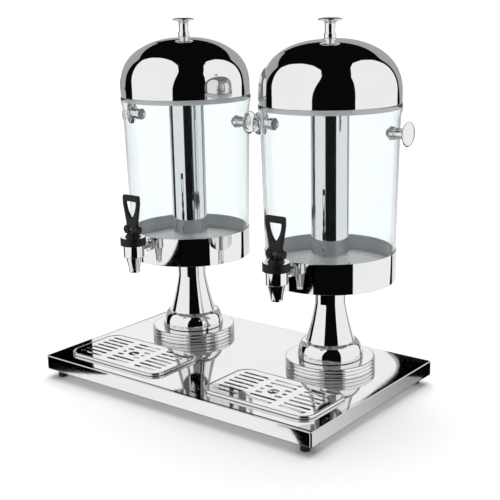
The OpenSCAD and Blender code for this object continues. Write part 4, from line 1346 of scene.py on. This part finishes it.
    def spring(self, unit: Unit) -> None:
        """Coil spring round the stem, built at one fixed length; the real one shortens as the lever is
        pulled, which this mesh doesn't do.

        Its wire's centre turns evenly and climbs slowly over the first and last coil, and in equal
        steps between them.

        Args:
            unit: which unit.
        """
        low, high = unit.box("tap_spring")
        x, y = (low[:2] + high[:2]) / 2
        foot, span = low[2] + self.wire_r, high[2] - low[2] - 2 * self.wire_r
        t = np.linspace(0, self.coils, self.coils * 24 + 1)[:, None]
        rise = np.interp(t, [0, 1, self.coils - 1, self.coils],
                         [0, self.end_pitch, span - self.end_pitch, span])
        b = 2 * np.pi * np.arange(12)[None] / 12
        out = (high[0] - low[0]) / 2 - self.wire_r + self.wire_r * np.cos(b)
        points = np.stack([x + out * np.cos(2 * np.pi * t), y + out * np.sin(2 * np.pi * t),
                           foot + rise + self.wire_r * np.sin(b)], axis=2)
        obj = unit.piece("valve_spring", [grid_skin(points * MM)], [unit.palette.spring], Slot.SPRING,
                         "tap_spring")
        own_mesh(obj)

    def build(self, unit: Unit) -> None:
        """Makes one unit's tap and dresses its inner pieces."""
        self.barrel(unit)
        self.cap(unit)
        self.lever(unit)
        self.spring(unit)
        unit.dress(unit.palette.blackened, "tap_stem", "tap_pin")
        unit.dress(unit.palette.silicone, "tap_seat_cup")


@dataclass(frozen=True)
class Fastenings:
    """Nuts and washers of the taps and the lifting knobs, both units together."""

    flats: float = 19.0
    height: float = 5.0
    bore: float = 6.3
    outer_reach: float = 106.65

    def build(self, shop: Workshop) -> None:
        """Makes the tap's lock nuts, and dresses the small nuts and washers.

        Args:
            shop: the workshop.
        """
        low, high = node_box("tap_lock_nuts")
        skins = []
        for side in Side:
            v_low, v_high = node_box(f"{side.tag}_vessel")
            cx, cy = (v_low[:2] + v_high[:2]) / 2
            z = (low[2] + high[2]) / 2
            skins.append(Axis((cx, cy - self.outer_reach, z), (0, -1, 0)).hexagon(
                self.flats, self.height, self.bore))
            skins.append(Axis((cx, high[1], z), (0, -1, 0)).hexagon(self.flats, self.height, self.bore))
        shop.piece("shank_nuts", skins, [shop.palette.chrome], Slot.PLAIN, "base", ["tap_lock_nuts"], 20.0)
        shop.dress("side_knob_screws", shop.palette.plain)
        shop.dress("side_knob_washers", shop.palette.silicone)
        shop.dress("tap_washers", shop.palette.silicone)


@dataclass(frozen=True)
class DripTray:
    """Drawn tray with a beaded rim, and its slotted grate."""

    bead: float = 4.8
    corner_r: float = 24.0
    sheet: float = 0.8
    floor_r: float = 4.0
    ease: float = 0.3

    def build(self, unit: Unit) -> None:
        """Makes one unit's tray and grate.

        Args:
            unit: which unit.
        """
        low, high = unit.box("drip_tray")
        centre = tuple((low[:2] + high[:2]) / 2)
        half = self.bead / 2
        axis_z, z0 = high[2] - half, low[2]
        width, depth = (high - low)[:2] - self.bead
        loop = round_loop(width, depth, self.corner_r - half, 16)
        s = self.sheet
        bead = oval((0, axis_z), half, half, 138, -112, 20)
        inside = rounded_outline([(-14, z0 + s), (-1 - s, z0 + s), (-1 - s, axis_z - 1)],
                                 [0, self.floor_r - s, 0], closed=False, steps=8)
        outside = rounded_outline([(-1, axis_z - half), (-1, z0), (-14, z0)], [0, self.floor_r, 0],
                                  closed=False, steps=8)
        outline = np.concatenate([inside, bead, outside])
        unit.piece("tray_tub", [swept_skin(loop, outline, centre, False)], [unit.palette.mirror],
                   Slot.POLISHED, "drip_tray", "tray")
        unit.shop.eased_copy(unit.named("slotted_grate"), unit.named("drip_grate"),
                             unit.box("drip_grate")[1][2], self.ease, unit.palette.plate, Slot.POLISHED,
                             unit.named("grate"))


@dataclass(frozen=True)
class Lamp:
    """A broad far lamp for plastic and floor; mirrors see the cards instead of it."""

    name: str
    towards: tuple[float, float, float]
    spread: float
    strength: float

    def hang(self) -> None:
        """Hangs the lamp, shining evenly over the whole floor from its spread of the sky."""
        lamp = bpy.data.lights.new(self.name, "SUN")
        lamp.angle = math.radians(self.spread)
        lamp.energy = self.strength
        obj = bpy.data.objects.new(self.name, lamp)
        obj.rotation_euler = Vector(self.towards).to_track_quat("-Z", "Y").to_euler()
        obj.visible_camera = False
        obj.visible_glossy = False
        obj.visible_transmission = False
        bpy.context.scene.collection.objects.link(obj)


@dataclass(frozen=True)
class CardStand:
    """Where a card stands: a point of its plane on the floor plan and the way it faces, in millimetres."""

    middle: tuple[float, float]
    facing: tuple[float, float]


@dataclass(frozen=True)
class Card:
    """A flat card that polished steel reflects: white where it glows, and a black flag where it doesn't.

    Its outline is given along the card, to the left as seen from its back, and in height.
    """

    name: str
    stand: CardStand
    outline: tuple[tuple[float, float], ...]
    corner_r: float = 60.0
    glow: float = 1.0
    end_glow: float = 1.0
    forward: float = 0.0
    rising: bool = False

    def build(self) -> None:
        """Makes the card, in metres."""
        face = np.array([*self.stand.facing, 0.0])
        face /= np.linalg.norm(face)
        along = np.array([-face[1], face[0], 0.0])
        flat = rounded_outline(list(self.outline), self.corner_r, steps=8, rest=1.0)
        middle = np.array([*self.stand.middle, 0.0]) + self.forward * face
        points = middle + flat[:, :1] * along + flat[:, 1:] * np.array([0, 0, 1.0])
        mesh = bpy.data.meshes.new(self.name)
        mesh.from_pydata(points * MM, [], [list(range(len(points)))])
        low, high = flat.min(0), flat.max(0)
        mesh.uv_layers.new(name="way").data.foreach_set("uv", ((flat - low) / (high - low)).ravel())
        mesh.materials.append(self.finish())
        obj = bpy.data.objects.new(self.name, mesh)
        bpy.context.scene.collection.objects.link(obj)
        obj.visible_camera = False
        obj.visible_diffuse = False
        obj.visible_shadow = False

    def finish(self) -> bpy.types.Material:
        """Glow that runs evenly along or up the card, seen only by rays that a surface has mirrored."""
        sheet = NodeSheet(self.name)
        run = sheet.add("ShaderNodeSeparateXYZ", {0: sheet.where.outputs["UV"]})
        glow = sheet.add("ShaderNodeMapRange", {"Value": run.outputs[int(self.rising)],
                                                "To Min": self.end_glow, "To Max": self.glow})
        light = sheet.add("ShaderNodeEmission", {"Strength": glow.outputs[0]})
        clear = sheet.add("ShaderNodeBsdfTransparent")
        sheet.mirror_split(clear.outputs[0], light.outputs[0])
        return sheet.material


@dataclass(frozen=True)
class Camera:
    """The camera at the picture's viewpoint."""

    place: tuple[float, float, float] = (1.02151, -1.25487, 0.6325)
    yaw: float = 38.145
    pitch: float = -14.135
    roll: float = -1.144
    focal_px: float = 1016.55
    sensor: float = 36.0

    def build(self) -> None:
        """Makes the scene's camera."""
        yaw, pitch, roll = (math.radians(a) for a in (self.yaw, self.pitch, self.roll))
        ahead = Vector((-math.sin(yaw) * math.cos(pitch), math.cos(yaw) * math.cos(pitch),
                        math.sin(pitch)))
        across = Vector((math.cos(yaw), math.sin(yaw), 0))
        up = across.cross(ahead)
        right = across * math.cos(roll) + up * math.sin(roll)
        top = up * math.cos(roll) - across * math.sin(roll)
        data = bpy.data.cameras.new("camera")
        data.sensor_fit, data.sensor_width = "HORIZONTAL", self.sensor
        data.lens = self.focal_px * self.sensor / IMAGE_SIZE
        data.clip_start, data.clip_end = 0.05, 50
        obj = bpy.data.objects.new("camera", data)
        turn = Matrix((right, top, -ahead)).transposed().to_4x4()
        obj.matrix_world = Matrix.Translation(self.place) @ turn
        bpy.context.scene.collection.objects.link(obj)
        bpy.context.scene.camera = obj


@dataclass(frozen=True)
class Studio:
    """White floor and backdrop, a dark room behind the camera, and cards that polished steel reflects."""

    floor_size: float = 30.0
    floor_white: float = 0.90
    floor_shown: float = 1.22
    fill: float = 0.42
    dark: float = 0.003
    dim: float = 0.22
    through: float = 0.6

    def floor(self) -> None:
        """White floor that keeps the shadow. Mirrors look through it into the dark room."""
        half = self.floor_size / 2
        mesh = bpy.data.meshes.new("floor")
        mesh.from_pydata([(-half, -half, 0), (half, -half, 0), (half, half, 0), (-half, half, 0)], [],
                         [(0, 1, 2, 3)])
        sheet = NodeSheet("white_floor")
        sheet.fix(Roughness=0.9, Specular_IOR_Level=0.0)
        seen = sheet.add("ShaderNodeLightPath")
        direct = sheet.add("ShaderNodeMath", {0: seen.outputs["Diffuse Depth"], 1: 0.5},
                           operation="LESS_THAN")
        sheet.wear("Base Color", sheet.blend(direct.outputs[0], (self.floor_white,) * 3,
                                             (self.floor_shown,) * 3))
        clear = sheet.add("ShaderNodeBsdfTransparent")
        sheet.mirror_split(sheet.shader.outputs[0], clear.outputs[0])
        mesh.materials.append(sheet.material)
        obj = bpy.data.objects.new("floor", mesh)
        bpy.context.scene.collection.objects.link(obj)

    def room(self) -> None:
        """World: white straight ahead and through clear plastic, dark to mirrors, soft fill otherwise."""
        world = bpy.data.worlds.new("studio")
        bpy.context.scene.world = world
        world.use_nodes = True
        tree = world.node_tree
        tree.nodes.clear()
        out = tree.nodes.new("ShaderNodeOutputWorld")
        seen = tree.nodes.new("ShaderNodeLightPath")

        def sky(strength: float) -> bpy.types.NodeSocket:
            """A plain white background of one strength."""
            node = tree.nodes.new("ShaderNodeBackground")
            node.inputs[0].default_value = (1, 1, 1, 1)
            node.inputs[1].default_value = strength
            return node.outputs[0]

        def choose(kind: str, count: int, fewer: bpy.types.NodeSocket,
                   rest: bpy.types.NodeSocket) -> bpy.types.NodeSocket:
            """One background where a ray has had fewer steps of this kind, and another for the rest."""
            over = tree.nodes.new("ShaderNodeMath")
            over.operation = "GREATER_THAN"
            over.inputs[1].default_value = count - 0.5
            tree.links.new(seen.outputs[kind + " Depth"], over.inputs[0])
            node = tree.nodes.new("ShaderNodeMixShader")
            for i, socket in enumerate((over.outputs[0], fewer, rest)):
                tree.links.new(socket, node.inputs[i])
            return node.outputs[0]

        mirror = choose("Glossy", 2, sky(self.dark), sky(self.dim))
        wall = choose("Transmission", 2, mirror, choose("Transmission", 3, sky(self.through), mirror))
        unlit = choose("Glossy", 1, sky(1.0), wall)
        tree.links.new(choose("Diffuse", 1, unlit, sky(self.fill)), out.inputs[0])

    def build(self) -> None:
        """Makes the floor, the room, the lamp and the cards, and sets the view."""
        self.floor()
        self.room()
        LAMP.hang()
        for card in CARDS:
            card.build()
        bpy.context.scene.view_settings.view_transform = "Standard"


LAMP = Lamp("back_lamp", (0.28, -0.42, -1.0), 60.0, 1.85)

FRONT = CardStand((-550, -875), (0.3714, 0.9285))
RIGHT = CardStand((900, 990), (-0.9925, -0.1225))
BACK_LEFT = CardStand((-678, 867), (0.616, -0.788))
BACKDROP = CardStand((-600, 2500), (0.0, -1.0))
LEFT_WALL = CardStand((-3300, 0), (1.0, 0.0))

CARDS = (
    Card("front_card", FRONT,
         ((780, -560), (-880, -560), (-895, 250), (-960, 600), (-1060, 950), (-1180, 1350),
          (-1250, 1800), (-1050, 2700), (-300, 3100), (500, 3000), (1250, 2500), (1480, 2000),
          (1280, 1500), (1030, 930), (860, 490)), 160),
    Card("front_left_flag", FRONT, ((228, -300), (470, -310), (470, -235), (228, -225)), 20, 0, 0, 4),
    Card("front_low_flag", FRONT, ((60, -140), (60, -60), (-960, -60), (-960, -140)), 5, 0, 0, 4),
    Card("front_corner_flag", FRONT,
         ((-190, -388), (-236, -398), (-256, -430), (-275, -520), (-400, -520), (-400, -330),
          (-230, -350)), 15, 0, 0, 4),
    Card("right_card", RIGHT,
         ((1240, -300), (1250, 600), (1250, 1200), (1000, 1900), (600, 2400), (-100, 2500), (-700, 2200),
          (-1100, 1600), (-1100, 500), (-1000, -300)), 160),
    Card("right_low_card", RIGHT,
         ((420, -430), (-120, -430), (-200, -447), (-260, -466), (-295, -490), (-310, -600), (-310, -700),
          (420, -700)), 30, 0.95, 0.25),
    Card("back_left_card", BACK_LEFT,
         ((-424, 230), (250, 330), (400, 425), (450, 480), (330, 590), (215, 700), (215, 800),
          (-424, 800)), 60),
    Card("back_left_flag", BACK_LEFT, ((-640, 390), (-400, 370), (-400, 485), (-640, 450)), 15, 0, 0, -4),
    Card("back_right_flag", BACK_LEFT,
         ((380, 425), (540, 455), (560, 480), (300, 640), (314, 594), (343, 574), (379, 549), (407, 529),
          (424, 514), (438, 496), (444, 477), (441, 458), (427, 443), (391, 427)), 3, 0, 0, -4),
    Card("backdrop_card", BACKDROP, ((-2700, 200), (1200, 200), (1200, 2200), (-2700, 2200)),
         300, 0.42, 0.42),
    Card("backdrop_foot", BACKDROP, ((-2700, -1200), (1200, -1200), (1200, 210), (-2700, 210)),
         10, 0.42, 1.38, 5, True),
    Card("left_wall_card", LEFT_WALL, ((-60, 200), (2500, 200), (2500, 2700), (-60, 2700)),
         300, 0.42, 0.42),
    Card("left_wall_foot", LEFT_WALL, ((-60, -1200), (2500, -1200), (2500, 210), (-60, 210)),
         10, 0.42, 1.38, 5, True),
)


def main() -> None:
    """Builds the camera, the studio and the dispenser's sub-assemblies in order."""
    logging.basicConfig(level=logging.INFO, format="%(name)s: %(message)s")
    Camera().build()
    Studio().build()
    shop = Workshop(Palette())
    BasePlate().build(shop)
    Fastenings().build(shop)
    for side in Side:
        unit = Unit(shop, side)
        for part in (Stand(), Vessel(), Lid(), Tap(), DripTray()):
            part.build(unit)
    LOG.info("%d pieces made", len(shop.made))


if __name__ == "__main__":
    main()
